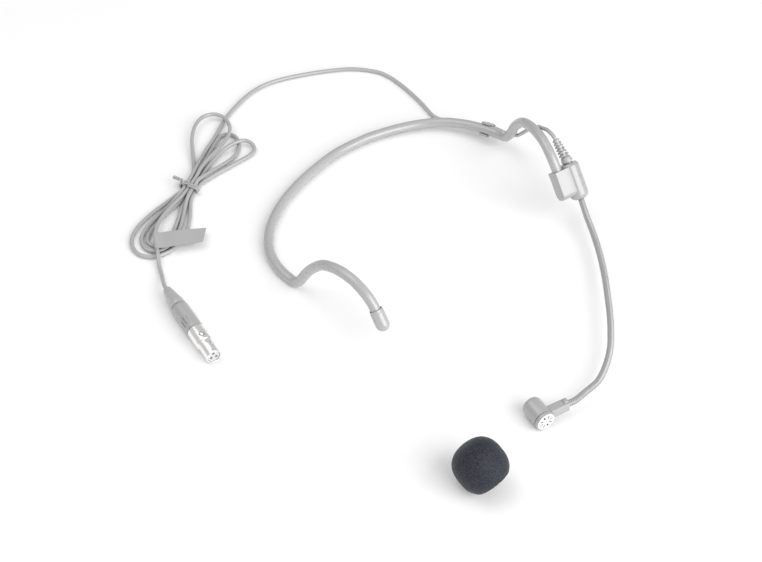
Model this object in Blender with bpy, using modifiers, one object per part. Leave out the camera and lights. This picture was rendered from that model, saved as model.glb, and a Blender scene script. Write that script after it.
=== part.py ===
"""Headset microphone: a neckband with two ear hooks, a boom with a small capsule, a foam
windscreen lying beside it, and a thin cable tied in a hank that ends in a three-pole plug.

The frame: the wearer faces -Y, +Z is up and +X is the wearer's left, where the boom is.
Lengths below are millimetres, in a frame that has its origin on the surface, midway
between the lowest points of the two ear hooks. at() turns them into world metres, with
the origin at the middle of the footprint of everything but the cable.
"""

import math

import bmesh
import bpy
import numpy as np
from mathutils import Matrix, Vector

MM = 0.001
FOOTPRINT_CENTRE = Vector((-21.84, -52.23, 0.0))
GAP = 0.3  # between pieces that touch

# Neckband: a spring-steel core in a rubber sleeve
SLEEVE_D = 5.4
SLEEVE_BORE = 2.2
CORE_D = 1.6
END_CAP_D = 7.1
END_CAP_LIP_D = 6.6  # at its mouth
END_CAP_LIP = 1.6

# Boom holder: a socket for the hook's end, moulded beside the boom's barrel
SOCKET_BORE = 6.0
SOCKET_DEPTH = 13.2
BLOCK_WIDTH = 9.1
BLOCK_HEIGHT = 7.9
BLOCK_LENGTH = 15.5
BLOCK_OFFSET = 1.0
BARREL_D = 10.4
BARREL_AXIS = (8.0, -0.6)
BARREL_TOP = -1.4
BARREL_BOTTOM = 18.7
BARREL_BORE = 5.6

# Strain relief: a skirt on the barrel's top and a ribbed tail that leans to the hook
RELIEF_LENGTH = 14.0
RELIEF_LEAN = (-1.8, -0.95)
RELIEF_RIBS = 5

# Cable clip: the eye for the cable, outward and down from the band's axis
CLIP_EYE = (4.7, -1.0)
CLIP_EYE_R = 2.1
CLIP_BEAD_R = 0.7  # the rounded lips of the C
CLIP_LENGTH = 5.0
CLIP_PLACE = Vector((74.7, 8.4, 8.1))

# Gooseneck
GOOSENECK_D = 3.5
GOOSENECK_BORE = 1.9
LEAD_D = 1.1
HINGE_GAP = 1.3

# Capsule
CAPSULE_D = 10.2
CAPSULE_LENGTH = 13.4
CAPSULE_BORE = 8.2
ARM_LENGTH = 9.3
ARM_WIDTH = 4.4
ARM_HEIGHT = 5.2
ARM_BEHIND_FACE = 3.9
ARM_RISE = 0.7

# Windscreen
FOAM_D = 24.6
FOAM_LENGTH = 24.0
FOAM_BORE = 10.4
FOAM_BORE_DEPTH = 15.0

# Cable and plug
CABLE_D = 2.2
BOOT_START = 2.6
BOOT_LENGTH = 17.0
BACKSHELL_END = 36.0
COLLAR_END = 47.0
NOSE_END = 56.8
COLLAR_D = 9.0
NOSE_D = 7.8
LATCH_Z = 43.4
CONTACT_RING_R = 1.55

# Where things lie
HOOK_END = Vector((52.9, -59.1, 30.0))  # the hook's axis at the top of its socket
HOOK_END_DIRECTION = Vector((-0.120, -0.611, -0.782)).normalized()
BLOCK_FACE = Vector((-0.221, -0.752, 0.621))  # which way the block's broad face looks
END_CAP_TIP = Vector((-82.6, -62.4, 17.0))  # the middle of the end cap's ball
CAPSULE_FACE = Vector((-67.2, -153.9, CAPSULE_D / 2))
CAPSULE_DIRECTION = Vector((-0.268, -0.963, 0.0)).normalized()
FOAM_CENTRE = Vector((-113.2, -153.0, 13.02))
FOAM_MOUTH_DIRECTION = Vector((0.10, -0.76, -0.64)).normalized()
PLUG_TAIL = Vector((-131.4, 44.3, COLLAR_D / 2))
PLUG_DIRECTION = Vector((-0.269, -0.963, 0.0)).normalized()
TIE_CENTRE = Vector((-70.5, 95.6, 0.0))
HANK_HEIGHT = 5.0
TIE_D = 1.1

# The neckband's centre line, from the bare hook's end round the head to the boom's hook
NECKBAND_ROUTE = [
    (-82.5, -58.6, 22.4), (-82.5, -54.5, 27.1), (-82.5, -49.3, 30.6), (-82.4, -43.0, 32.8),
    (-82.4, -36.8, 33.5), (-82.3, -31.9, 33.0), (-82.3, -27.0, 31.8), (-82.2, -20.9, 29.0),
    (-82.2, -15.3, 23.8), (-82.1, -9.9, 17.0), (-82.1, -6.0, 10.6), (-82.0, -3.0, 5.8),
    (-81.9, 0.8, 2.9), (-81.8, 5.0, 2.7), (-81.2, 10.7, 2.7), (-79.6, 16.9, 2.7),
    (-76.4, 24.3, 2.7), (-70.8, 32.0, 2.7), (-60.8, 40.9, 2.7), (-45.2, 49.2, 2.7),
    (-28.0, 54.6, 2.7), (-11.0, 57.5, 2.7), (6.0, 58.8, 2.7), (23.5, 56.5, 2.8),
    (33.9, 53.5, 3.0), (44.1, 49.1, 3.4), (56.1, 41.7, 4.2), (65.4, 32.4, 5.4),
    (70.7, 22.9, 6.5), (73.6, 13.8, 7.6), (75.0, 6.0, 8.4), (75.6, -1.0, 9.0),
    (74.6, -5.2, 10.5), (73.0, -8.7, 13.8), (71.6, -12.3, 19.4), (69.6, -16.0, 26.8),
    (66.9, -22.5, 34.6), (64.0, -29.5, 38.3), (61.0, -36.3, 40.0), (57.7, -44.1, 40.1),
    (55.3, -50.0, 38.3), (53.6, -54.9, 35.0),
]
# The gooseneck's centre line beyond the barrel, up to the capsule's arm
GOOSENECK_ROUTE = [
    (55.5, -79.0, 9.6), (50.2, -87.5, 7.3), (42.7, -97.1, 6.9), (34.3, -106.5, 7.1),
    (25.3, -115.7, 7.6), (16.1, -124.4, 8.0), (7.0, -132.8, 8.3), (-2.0, -140.4, 8.4),
    (-11.2, -147.3, 8.3), (-21.2, -152.7, 8.0), (-31.5, -156.1, 7.4), (-41.1, -155.9, 6.6),
]
SWING_AT = 5  # the gooseneck's points that stand for its two bends
NOD_AT = 10
# The lead from the cable clip to the boom's strain relief
LEAD_IN_ROUTE = [
    (79.0, 11.2, 6.9), (79.6, 6.3, 7.5), (79.9, 1.5, 7.9), (79.3, -4.0, 9.0),
    (77.6, -9.1, 12.2), (75.3, -13.4, 15.7), (72.9, -17.0, 19.6), (71.0, -20.9, 24.3),
    (69.7, -25.1, 29.3), (68.3, -29.4, 33.8), (66.6, -33.8, 38.0), (64.0, -40.0, 41.9),
]
# The free cable, from the clip to the hank
CABLE_ROUTE = [
    (78.7, 13.0, 6.5), (78.2, 17.5, 4.6), (77.2, 22.5, 2.6), (75.6, 27.5, 1.5),
    (73.2, 32.6, 1.2), (70.9, 37.6, 1.2), (69.8, 42.2, 1.2), (70.4, 46.5, 1.2),
    (71.9, 51.0, 1.2), (73.6, 56.0, 1.2), (75.3, 62.5, 1.2), (77.0, 70.0, 1.2),
    (78.5, 78.7, 1.2), (79.2, 88.0, 1.2), (77.6, 97.0, 1.2), (69.6, 109.2, 1.2),
    (57.6, 118.7, 1.2), (44.6, 126.6, 1.2), (32.0, 132.6, 1.2), (20.1, 135.6, 1.2),
    (8.3, 135.0, 1.2), (-4.4, 131.8, 1.4), (-14.0, 128.3, 2.4),
]
# The cable from the hank to the plug
TAIL_ROUTE = [
    (-119.6, 64.0, 1.4), (-122.6, 59.4, 1.3), (-125.6, 54.6, 1.8), (-128.4, 50.0, 3.2),
    (-130.3, 46.8, 4.2), (-131.4, 44.3, 4.5),
]
# The outside of the tied hank, seen from above
HANK_OUTLINE = [
    (-66.0, 99.8), (-56.5, 108.0), (-49.5, 117.5), (-38.0, 130.4), (-27.5, 136.6),
    (-19.5, 135.4), (-16.0, 128.5), (-18.6, 118.5), (-20.4, 108.0), (-19.8, 99.0),
    (-25.0, 93.0), (-37.0, 91.6), (-52.0, 92.0), (-66.5, 91.4), (-74.5, 90.4),
    (-82.0, 82.0), (-89.0, 74.0), (-97.0, 68.0), (-106.0, 64.2), (-115.0, 64.6),
    (-121.6, 69.4), (-124.2, 78.0), (-119.0, 87.4), (-109.4, 93.4), (-97.0, 96.6),
    (-83.6, 98.2), (-74.5, 100.2),
]

FINISHES = {  # colour, roughness, metallic
    "rubber": ((0.47, 0.47, 0.48), 0.55, 0.0),
    "plastic": ((0.56, 0.56, 0.57), 0.40, 0.0),
    "steel": ((0.62, 0.62, 0.62), 0.30, 1.0),
    "nickel": ((0.74, 0.73, 0.71), 0.22, 1.0),
    "gold": ((0.80, 0.62, 0.30), 0.25, 1.0),
    "cable": ((0.50, 0.50, 0.51), 0.50, 0.0),
    "grille": ((0.88, 0.88, 0.89), 0.45, 0.0),
    "label": ((0.52, 0.52, 0.53), 0.35, 0.0),
    "foam": ((0.055, 0.060, 0.075), 0.95, 0.0),
    "felt": ((0.20, 0.20, 0.20), 0.90, 0.0),
    "board": ((0.10, 0.30, 0.16), 0.50, 0.0),
}


# Scene and frames


def at(point):
    return (Vector(point) - FOOTPRINT_CENTRE) * MM


def clear_scene():
    for obj in list(bpy.data.objects):
        bpy.data.objects.remove(obj, do_unlink=True)


def new_collection(name, hidden=False):
    collection = bpy.data.collections.new(name)
    bpy.context.scene.collection.children.link(collection)
    collection.hide_render = hidden
    return collection


def axis_frame(name, origin, z_axis, y_hint=(0, 0, 1)):
    """An empty at origin, its Z along z_axis and its Y as near to y_hint as that allows."""
    z = Vector(z_axis).normalized()
    x = Vector(y_hint).cross(z).normalized()
    y = z.cross(x)
    empty = bpy.data.objects.new(name, None)
    empty.empty_display_size = 5 * MM
    empty.matrix_world = Matrix.Translation(at(origin)) @ Matrix((x, y, z)).transposed().to_4x4()
    PARTS.objects.link(empty)
    return empty


def in_frame(frame, x=0.0, y=0.0, z=0.0):
    """The millimetre point, in the route's frame, of a place given in an axis frame."""
    return (frame.matrix_world @ (Vector((x, y, z)) * MM)) / MM + FOOTPRINT_CENTRE


def finish(obj, look):
    colour, roughness, metallic = FINISHES[look]
    mat = bpy.data.materials.new(obj.name)
    mat.use_nodes = True
    shader = mat.node_tree.nodes["Principled BSDF"]
    shader.inputs["Base Color"].default_value = (*colour, 1.0)
    shader.inputs["Roughness"].default_value = roughness
    shader.inputs["Metallic"].default_value = metallic
    obj.data.materials.append(mat)
    return obj


def add_object(name, data, look=None, frame=None, origin=(0, 0, 0)):
    """A part, or with no look a cutter, whose location is in millimetres in its frame."""
    obj = bpy.data.objects.new(name, data)
    (PARTS if look else CUTTERS).objects.link(obj)
    if frame:
        obj.parent = frame
    obj.location = Vector(origin) * MM
    if look:
        return finish(obj, look)
    obj.hide_render = True
    obj.display_type = "WIRE"
    return obj


# Shapes


def smooth_route(points, spacing):
    """Points about spacing apart on a Catmull-Rom curve through the given ones."""
    p = np.array([tuple(q) for q in points], float)
    p = np.vstack([2 * p[0] - p[1], p, 2 * p[-1] - p[-2]])
    fine = []
    for a, b, c, d in zip(p, p[1:], p[2:], p[3:]):
        t = np.linspace(0, 1, 24, endpoint=False)[:, None]
        fine.append(
            0.5 * (2 * b + (c - a) * t + (2 * a - 5 * b + 4 * c - d) * t**2
                   + (3 * b - a - 3 * c + d) * t**3)
        )
    fine = np.vstack([*fine, p[-2:-1]])
    run = np.concatenate([[0], np.cumsum(np.linalg.norm(np.diff(fine, axis=0), axis=1))])
    count = max(2, round(run[-1] / spacing) + 1)
    even = np.linspace(0, run[-1], count)
    return [Vector([np.interp(s, run, fine[:, k]) for k in range(3)]) for s in even]


def stretch_ends(points, extra):
    """The same route made longer at both ends, for a cutter that runs right through."""
    first = points[0] + (points[0] - points[1]).normalized() * extra
    last = points[-1] + (points[-1] - points[-2]).normalized() * extra
    return [first, *points, last]


def tube(name, points, diameter, look=None, origin=None, sides=2, closed=False):
    """A round tube along world-millimetre points, with its own origin at origin."""
    data = bpy.data.curves.new(name, "CURVE")
    data.dimensions = "3D"
    data.bevel_depth = diameter / 2 * MM
    data.bevel_resolution = sides
    data.use_fill_caps = not closed
    spline = data.splines.new("POLY")
    spline.points.add(len(points) - 1)
    spline.use_cyclic_u = closed
    start = Vector(origin or points[0])
    for place, point in zip(spline.points, points):
        place.co = (*((Vector(point) - start) * MM), 1.0)
    obj = add_object(name, data, look)
    obj.location = at(start)
    return obj


def as_mesh(obj):
    """Replaces a curve object by the mesh it makes, with its caps welded on."""
    bpy.context.view_layer.update()
    graph = bpy.context.evaluated_depsgraph_get()
    mesh = bpy.data.meshes.new_from_object(obj.evaluated_get(graph))
    welded = bmesh.new()
    welded.from_mesh(mesh)
    bmesh.ops.remove_doubles(welded, verts=welded.verts, dist=1e-6)
    bmesh.ops.recalc_face_normals(welded, faces=welded.faces)
    welded.to_mesh(mesh)
    welded.free()
    solid = bpy.data.objects.new("solid", mesh)
    for collection in obj.users_collection:
        collection.objects.link(solid)
    solid.parent = obj.parent
    solid.matrix_world = obj.matrix_world
    solid.hide_render = obj.hide_render
    solid.display_type = obj.display_type
    name = obj.name
    bpy.data.objects.remove(obj, do_unlink=True)
    solid.name = name
    mesh.name = name
    return solid


def cut(target, *cutters, operation="DIFFERENCE"):
    for cutter in cutters:
        step = target.modifiers.new(f"{operation.lower()}_{cutter.name}", "BOOLEAN")
        step.operation = operation
        step.solver = "EXACT"
        step.object = cutter
    return target


def hollow_tube(name, points, diameter, bore, look, origin=None, sides=2):
    outer = as_mesh(tube(name, points, diameter, look, origin, sides))
    inner = as_mesh(tube(f"{name}_bore", stretch_ends(points, 2.0), bore, origin=origin))
    return cut(outer, inner)


def turned(name, outline, look=None, frame=None, origin=(0, 0, 0), steps=24, ring=False):
    """A solid turned about its Z. The outline is (radius, z) down the outer side."""
    data = bpy.data.meshes.new(name)
    count = len(outline)
    edges = [(k, k + 1) for k in range(count - 1)] + ([(count - 1, 0)] if ring else [])
    data.from_pydata([(r * MM, 0, z * MM) for r, z in outline], edges, [])
    obj = add_object(name, data, look, frame, origin)
    screw = obj.modifiers.new("turn", "SCREW")
    screw.axis = "Z"
    screw.steps = screw.render_steps = steps
    screw.use_merge_vertices = True
    screw.merge_threshold = 1e-5
    screw.use_smooth_shade = True
    return obj


def cylinder(name, radius, low, high, look=None, frame=None, x=0.0, y=0.0, steps=24):
    outline = [(0, high), (radius, high), (radius, low), (0, low)]
    return turned(name, outline, look, frame, (x, y, 0), steps)


def collar(name, outer, inner, low, high, look, frame, x=0.0, y=0.0, steps=24):
    outline = [(outer, high), (outer, low), (inner, low), (inner, high)]
    return turned(name, outline, look, frame, (x, y, 0), steps, ring=True)


def box(name, low, high, look=None, frame=None, rounding=0.0):
    data = bpy.data.meshes.new(name)
    shape = bmesh.new()
    bmesh.ops.create_cube(shape, size=1.0)
    size = [(b - a) * MM for a, b in zip(low, high)]
    middle = [(a + b) / 2 for a, b in zip(low, high)]
    bmesh.ops.scale(shape, vec=size, verts=shape.verts)
    shape.to_mesh(data)
    shape.free()
    obj = add_object(name, data, look, frame, middle)
    if rounding:
        bevel = obj.modifiers.new("rounding", "BEVEL")
        bevel.width = rounding * MM
        bevel.segments = 2
    return obj


def plate(name, outline, thickness, look=None, frame=None, origin=(0, 0, 0), rounding=0.0):
    """A flat outline in its frame's XY plane, made thickness thick about that plane."""
    data = bpy.data.curves.new(name, "CURVE")
    data.dimensions = "2D"
    data.fill_mode = "BOTH"
    data.extrude = (thickness / 2 - rounding) * MM
    data.bevel_depth = rounding * MM
    data.bevel_resolution = 1
    data.offset = -rounding * MM
    spline = data.splines.new("POLY")
    spline.points.add(len(outline) - 1)
    spline.use_cyclic_u = True
    for place, (x, y) in zip(spline.points, outline):
        place.co = (x * MM, y * MM, 0, 1)
    return add_object(name, data, look, frame, origin)


def arc(radius, start, end, count, centre=(0.0, 0.0)):
    angles = [math.radians(start + (end - start) * k / (count - 1)) for k in range(count)]
    return [(centre[0] + radius * math.cos(a), centre[1] + radius * math.sin(a)) for a in angles]


# The neckband


def neckband():
    end = [HOOK_END, HOOK_END + HOOK_END_DIRECTION * (SOCKET_DEPTH - 1.5)]
    route = smooth_route([*NECKBAND_ROUTE, *end], 5.0)
    hollow_tube("neckband_sleeve", route, SLEEVE_D, SLEEVE_BORE, "rubber", sides=3)
    core_start = route[0] + (END_CAP_TIP - route[0]).normalized() * 5.0
    tube("neckband_core", [core_start, *route[:-1]], CORE_D, "steel")
    return route


def end_cap(route):
    """A rubber cap on the bare hook, with a lip that laps over the sleeve's end."""
    frame = axis_frame("end_cap_axis", route[0], END_CAP_TIP - route[0])
    radius = END_CAP_D / 2
    lip = END_CAP_LIP_D / 2
    ball = (END_CAP_TIP - route[0]).length
    outline = [(0, ball + radius), *((r, ball + z) for r, z in arc(radius, 75, 0, 5))]
    outline += [(radius, -0.3), (lip, -END_CAP_LIP), (0, -END_CAP_LIP)]
    cap = turned("end_cap", outline, "rubber", frame)
    mouth = cylinder("end_cap_mouth", SLEEVE_D / 2 + 0.5, -4.0, 0.9, frame=frame)
    cut(cap, mouth, cylinder("end_cap_bore", CORE_D / 2 + 0.5, -1.0, 6.0, frame=frame, steps=8))


def cable_clip(route):
    """A spring C that snaps on the neckband, with an eye for the cable on its outer side."""
    k = min(range(len(route)), key=lambda k: (route[k] - CLIP_PLACE).length)
    frame = axis_frame("cable_clip_axis", route[k], route[k + 1] - route[k - 1])
    inner = SLEEVE_D / 2 + GAP + 0.1
    outer = inner + 1.0
    first, last = -150, 80  # the C's two lips, seen along the band
    outline = arc(outer, first, last, 16) + arc(inner, last, first, 16)
    shell = as_mesh(plate("cable_clip", outline, CLIP_LENGTH, "plastic", frame))
    half = CLIP_LENGTH / 2
    eye = cylinder("cable_clip_eye", CLIP_EYE_R, -half, half, None, frame, *CLIP_EYE, 16)
    hole_r = CABLE_D / 2 + GAP + 0.1
    hole = cylinder("cable_clip_hole", hole_r, -half - 1, half + 1, None, frame, *CLIP_EYE, 16)
    beads = [
        cylinder(f"cable_clip_bead_{k}", CLIP_BEAD_R, -half, half, None, frame, x, y, 10)
        for k, (x, y) in enumerate(arc((inner + outer) / 2, first, last, 2))
    ]
    cut(shell, eye, *beads, operation="UNION")
    cut(shell, hole)


# The boom


def holder():
    """The moulded housing: a socket for the hook's end beside the boom's barrel."""
    frame = axis_frame("holder_swivel_axis", HOOK_END, HOOK_END_DIRECTION, BLOCK_FACE)
    half = BLOCK_HEIGHT / 2
    corner = 3.0
    side = [(0.0, half), (0.0, -half), (BLOCK_LENGTH - corner, -half)]
    side += arc(corner, -90, 0, 5, (BLOCK_LENGTH - corner, -half + corner))
    side += arc(corner, 0, 90, 5, (BLOCK_LENGTH - corner, half - corner))
    block = plate("holder_housing", side, BLOCK_WIDTH, "plastic", frame, rounding=0.4)
    # the outline's X becomes the frame's Z, its Y stays, and its thickness lies along X
    block.location = Vector((BLOCK_OFFSET, 0, 0)) * MM
    block.rotation_euler = (0, -math.pi / 2, 0)
    block = as_mesh(block)
    x, y = BARREL_AXIS
    r = BARREL_D / 2
    low, high = BARREL_TOP, BARREL_BOTTOM
    shape = [(0, high), (2.6, high), (r - 1.3, high - 0.5), (r - 0.4, high - 1.5), (r, high - 2.8)]
    shape += [(r, low + 1.4), (r - 0.8, low), (0, low)]
    barrel = turned("holder_barrel", shape, None, frame, (x, y, 0))
    cut(block, barrel, operation="UNION")
    socket = cylinder("holder_socket", SOCKET_BORE / 2, -3.0, SOCKET_DEPTH, frame=frame)
    bore = cylinder("holder_bore", BARREL_BORE / 2, low - 2, high - 2.0, frame=frame, x=x, y=y)
    neck = GOOSENECK_D / 2 + GAP
    mouth = cylinder("holder_mouth", neck, high - 4, high + 2, frame=frame, x=x, y=y)
    cut(block, socket, bore, mouth)
    ferrule = (BARREL_BORE / 2 - GAP, neck, 7.5, high - 2.4)
    collar("gooseneck_ferrule", *ferrule, "nickel", frame, x, y)
    return frame


def strain_relief(holder_frame):
    """A ribbed rubber tail with a skirt on the barrel's top, leaning towards the hook."""
    x, y = BARREL_AXIS
    lean_x, lean_y = RELIEF_LEAN
    base = in_frame(holder_frame, x, y, BARREL_TOP - 0.9)
    tip = in_frame(holder_frame, x + lean_x, y + lean_y, BARREL_TOP - RELIEF_LENGTH)
    frame = axis_frame("strain_relief_axis", base, tip - base, BLOCK_FACE)
    length = (tip - base).length
    bore = LEAD_D / 2 + GAP
    skirt = 2.6
    pitch = (length - skirt) / RELIEF_RIBS
    outline = [(1.45, length)]
    for k in range(RELIEF_RIBS):
        top = length - k * pitch
        rib = 2.25 + 0.12 * k
        foot = top - pitch * 0.62
        outline += [(rib, top), (rib, foot), (1.5, foot), (1.5, top - pitch)]
    outline += [(2.9, skirt), (3.6, 0.0), (2.2, 0.0), (2.2, -4.0), (bore, -4.0)]
    outline += [(bore, length - 2.2), (1.45, length - 2.2)]
    turned("strain_relief", outline, "rubber", frame, steps=16, ring=True)
    return tip, (tip - base).normalized()


def gooseneck(holder_frame):
    """Three tubes end to end round two bend points, each with its stretch of signal lead."""
    x, y = BARREL_AXIS
    start = [in_frame(holder_frame, x, y, z) for z in (8.0, BARREL_BOTTOM)]
    bends = [Vector(GOOSENECK_ROUTE[k]) for k in (SWING_AT, NOD_AT)]
    end = [capsule_point(ARM_LENGTH + out) for out in (5.0, 0.7)]
    route = smooth_route([*start, *GOOSENECK_ROUTE, *end], 5.2)
    near = [min(range(len(route)), key=lambda k, b=b: (route[k] - b).length) for b in bends]
    bounds = [(0, near[0]), (near[0], near[1]), (near[1], len(route) - 1)]
    for name, (first, last), origin in zip(("root", "mid", "tip"), bounds, (None, *bends)):
        points = route[first : last + 1]
        if first:
            points[0] = points[0] + (points[1] - points[0]).normalized() * HINGE_GAP / 2
        if last < len(route) - 1:
            points[-1] = points[-1] + (points[-2] - points[-1]).normalized() * HINGE_GAP / 2
        hollow_tube(f"gooseneck_{name}", points, GOOSENECK_D, GOOSENECK_BORE, "steel", origin)
        tube(f"boom_lead_{name}", points[1:-1], LEAD_D, "cable", origin)


# The capsule


def capsule_point(out):
    """A point on the arm's axis, at this distance from the capsule's side."""
    arm = CAPSULE_DIRECTION.cross(Vector((0, 0, -1)))
    root = CAPSULE_FACE - CAPSULE_DIRECTION * ARM_BEHIND_FACE + Vector((0, 0, ARM_RISE))
    return root + arm * (CAPSULE_D / 2 + out)


def capsule():
    face = CAPSULE_FACE
    frame = axis_frame("capsule_axis", face, CAPSULE_DIRECTION)
    r = CAPSULE_D / 2
    back = -CAPSULE_LENGTH
    bore = CAPSULE_BORE / 2
    body_end = -3.0
    outline = [(r, body_end), (r, back + 2.2), (r - 0.6, back + 0.7), (r - 2.0, back), (0, back)]
    outline += [(0, back + 1.6), (bore - 0.6, back + 1.6), (bore, back + 2.4), (bore, body_end)]
    turned("capsule_body", outline, "plastic", frame, ring=True)
    ring = [(r, -0.25), (r, body_end + GAP), (bore, body_end + GAP), (bore, -0.9)]
    turned("capsule_ring", [*ring, (r - 0.7, -0.9), (r - 0.7, -0.25)], "plastic", frame, ring=True)
    grille = cylinder("capsule_grille", r - 0.7 - GAP, -0.6, 0.0, "grille", frame)
    cut(grille, *grille_slots(frame))
    capsule_inside(frame)
    arm_block(frame)


def grille_slots(frame):
    for k in range(8):
        angle = math.radians(22.5 + 45 * k)
        slot = box(f"grille_slot_{k}", (1.9, -0.35, -1.5), (3.5, 0.35, 1.0), frame=frame)
        slot.rotation_euler = (0, 0, angle)
        slot.location = Vector((2.7 * math.cos(angle), 2.7 * math.sin(angle), -0.25)) * MM
        yield slot


def capsule_inside(frame):
    """The electret element in its rubber boot, its circuit board, and the felt before it."""
    bore = CAPSULE_BORE / 2
    cylinder("front_felt", bore - GAP, -1.9, -1.2, "felt", frame, steps=16)
    cylinder("mic_element", 3.0, -6.4, -2.2, "nickel", frame, steps=20)
    collar("element_boot", bore - GAP, 3.0 + GAP, -6.6, -2.2, "rubber", frame, steps=20)
    cylinder("element_board", 2.9, -7.5, -6.9, "board", frame, steps=12)


def arm_block(capsule_frame):
    """The rectangular arm, hollowed to fit the capsule's side and bored for the gooseneck."""
    out = CAPSULE_DIRECTION.cross(Vector((0, 0, -1)))
    frame = axis_frame("capsule_arm_axis", capsule_point(GAP), out)
    x, y = ARM_WIDTH / 2, ARM_HEIGHT / 2
    arm = box("capsule_arm", (-x, -y, -2.0), (x, y, ARM_LENGTH), "plastic", frame, 0.4)
    tab_low, tab_high = (-1.1, y - 1, ARM_LENGTH - 2.6), (1.1, y + 0.8, ARM_LENGTH - 0.3)
    tab = box("capsule_arm_tab", tab_low, tab_high, frame=frame)
    low = ARM_LENGTH - 6.0
    hole = cylinder("capsule_arm_hole", 1.8, low, ARM_LENGTH + 1, frame=frame, steps=16)
    way = cylinder("capsule_arm_lead_way", 0.9, -3, ARM_LENGTH, frame=frame, steps=10)
    side = CAPSULE_D / 2 + 0.1
    seat = cylinder("capsule_arm_seat", side, -CAPSULE_LENGTH - 2, 2.0, frame=capsule_frame)
    cut(cut(arm, tab, operation="UNION"), hole, way, seat)
    collar("gooseneck_tip_ferrule", 1.5, 0.85, low + GAP, ARM_LENGTH, "nickel", frame, steps=16)


def windscreen():
    """A foam ball with flattened sides and a blind hole that grips the capsule."""
    frame = axis_frame("windscreen_axis", FOAM_CENTRE, FOAM_MOUTH_DIRECTION)
    half = FOAM_LENGTH / 2
    r = FOAM_D / 2
    bulge = 2.5  # the exponent of the superellipse that is its side
    outline = []
    for k in range(13):
        angle = math.radians(90 - 11.6 * k)
        c, s = math.cos(angle), math.sin(angle)
        radius = r * abs(c) ** (2 / bulge)
        outline.append((radius, -math.copysign(half * abs(s) ** (2 / bulge), s)))
    outline[0] = (0, -half)
    mouth = FOAM_BORE / 2
    outline = outline[::-1]
    lip = outline[0][1]
    inside = [(0, lip - FOAM_BORE_DEPTH), (mouth, lip - FOAM_BORE_DEPTH), (mouth, lip - 0.6)]
    turned("foam_windscreen", [(mouth + 0.6, lip), *outline, *inside], "foam", frame, ring=True)


# The plug


def plug():
    frame = axis_frame("plug_axis", PLUG_TAIL, PLUG_DIRECTION)
    hole = CABLE_D / 2 + GAP + 0.05
    boot = [(4.2, BOOT_LENGTH), (4.2, BOOT_LENGTH - 2.5), (3.4, 9.0), (2.6, 5.0), (2.1, BOOT_START)]
    boot += [(hole, BOOT_START), (hole, BOOT_LENGTH - 4), (2.9, BOOT_LENGTH - 4), (2.9, BOOT_LENGTH)]
    turned("plug_boot", boot, "rubber", frame, ring=True)
    r = COLLAR_D / 2
    low = BOOT_LENGTH + GAP
    shell = [(r, BACKSHELL_END), (r, low + 1.0), (r - 0.5, low), (3.3, low), (3.3, BACKSHELL_END)]
    back = turned("plug_backshell", shell, "plastic", frame, ring=True)
    cut(back, *grip_slots(frame, r))
    metal = [(NOSE_D / 2, NOSE_END), (NOSE_D / 2, COLLAR_END), (r, COLLAR_END - 0.4)]
    metal += [(r, BACKSHELL_END + GAP), (3.3, BACKSHELL_END + GAP), (3.3, NOSE_END)]
    shell = turned("plug_shell", metal, "nickel", frame, ring=True)
    window = cylinder("plug_latch_window", 1.45, 3.0, 6.0, frame=frame, steps=16)
    stand_on_side(window, LATCH_Z, 90)
    screw_hole = cylinder("plug_screw_hole", 1.0, 2.6, 5.0, frame=frame, steps=12)
    stand_on_side(screw_hole, 50.3, 125)
    cut(shell, window, screw_hole)
    plug_inside(frame)


def stand_on_side(obj, z, angle):
    """Turns an object so that its own Z points out of the plug's side, at z along it."""
    turn = math.radians(angle)
    obj.location = Vector((0, 0, z)) * MM
    outward = Vector((-math.cos(turn), math.sin(turn), 0))
    obj.rotation_euler = outward.to_track_quat("Z", "Y").to_euler()


def grip_slots(frame, radius):
    for k in range(3):
        slot = box(f"plug_grip_{k}", (-0.4, -0.6, -3.0), (0.4, 0.6, 3.0), frame=frame)
        angle = math.radians(23 + 24 * k)
        x, y = -radius * math.cos(angle), radius * math.sin(angle)
        slot.location = Vector((x, y, BACKSHELL_END - 5.5)) * MM
        slot.rotation_euler = (0, 0, math.atan2(y, x) - math.pi / 2)
        yield slot


def plug_inside(frame):
    insert = cylinder("plug_insert", 3.3 - GAP, 46.0, NOSE_END - 1.0, "plastic", frame)
    ring = arc(CONTACT_RING_R, 90, 330, 3)
    holes = [
        cylinder(f"plug_pole_{k}", 0.5 + GAP, 44.0, 58.0, None, frame, x, y, 12)
        for k, (x, y) in enumerate(ring)
    ]
    cut(insert, *holes)
    for k, (x, y) in enumerate(ring):
        name = f"plug_contact_{k + 1}"
        collar(name, 0.5, 0.28, 40.5, NOSE_END - 2.2, "gold", frame, x, y, steps=8)
    collar("plug_cable_clamp", 2.9 - GAP, CABLE_D / 2 + GAP, 18.5, 23.5, "nickel", frame)
    button = turned("plug_latch", [(0, 5.1), (0.8, 5.0), (1.15, 4.6), (1.15, 2.9), (0, 2.9)],
                    "nickel", frame, steps=16)
    stand_on_side(button, LATCH_Z, 90)
    screw = turned("plug_insert_screw", [(0, 4.2), (0.55, 4.1), (0.7, 3.8), (0.7, 3.35), (0, 3.35)],
                   "nickel", frame, steps=12)
    stand_on_side(screw, 50.3, 125)


# The cable


def cables(strain_tip, strain_direction):
    end = strain_tip + strain_direction * 0.8
    lead = smooth_route([*LEAD_IN_ROUTE, end + strain_direction * 3.0, end], 4.0)
    tube("cable_lead_in", lead, CABLE_D, "cable")
    tube("cable_free", smooth_route(CABLE_ROUTE, 5.0), CABLE_D, "cable")
    tail = smooth_route(TAIL_ROUTE, 4.4)
    tail[-1] = tail[-1] - PLUG_DIRECTION * 0.4
    tube("cable_tail", tail, CABLE_D, "cable")


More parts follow.
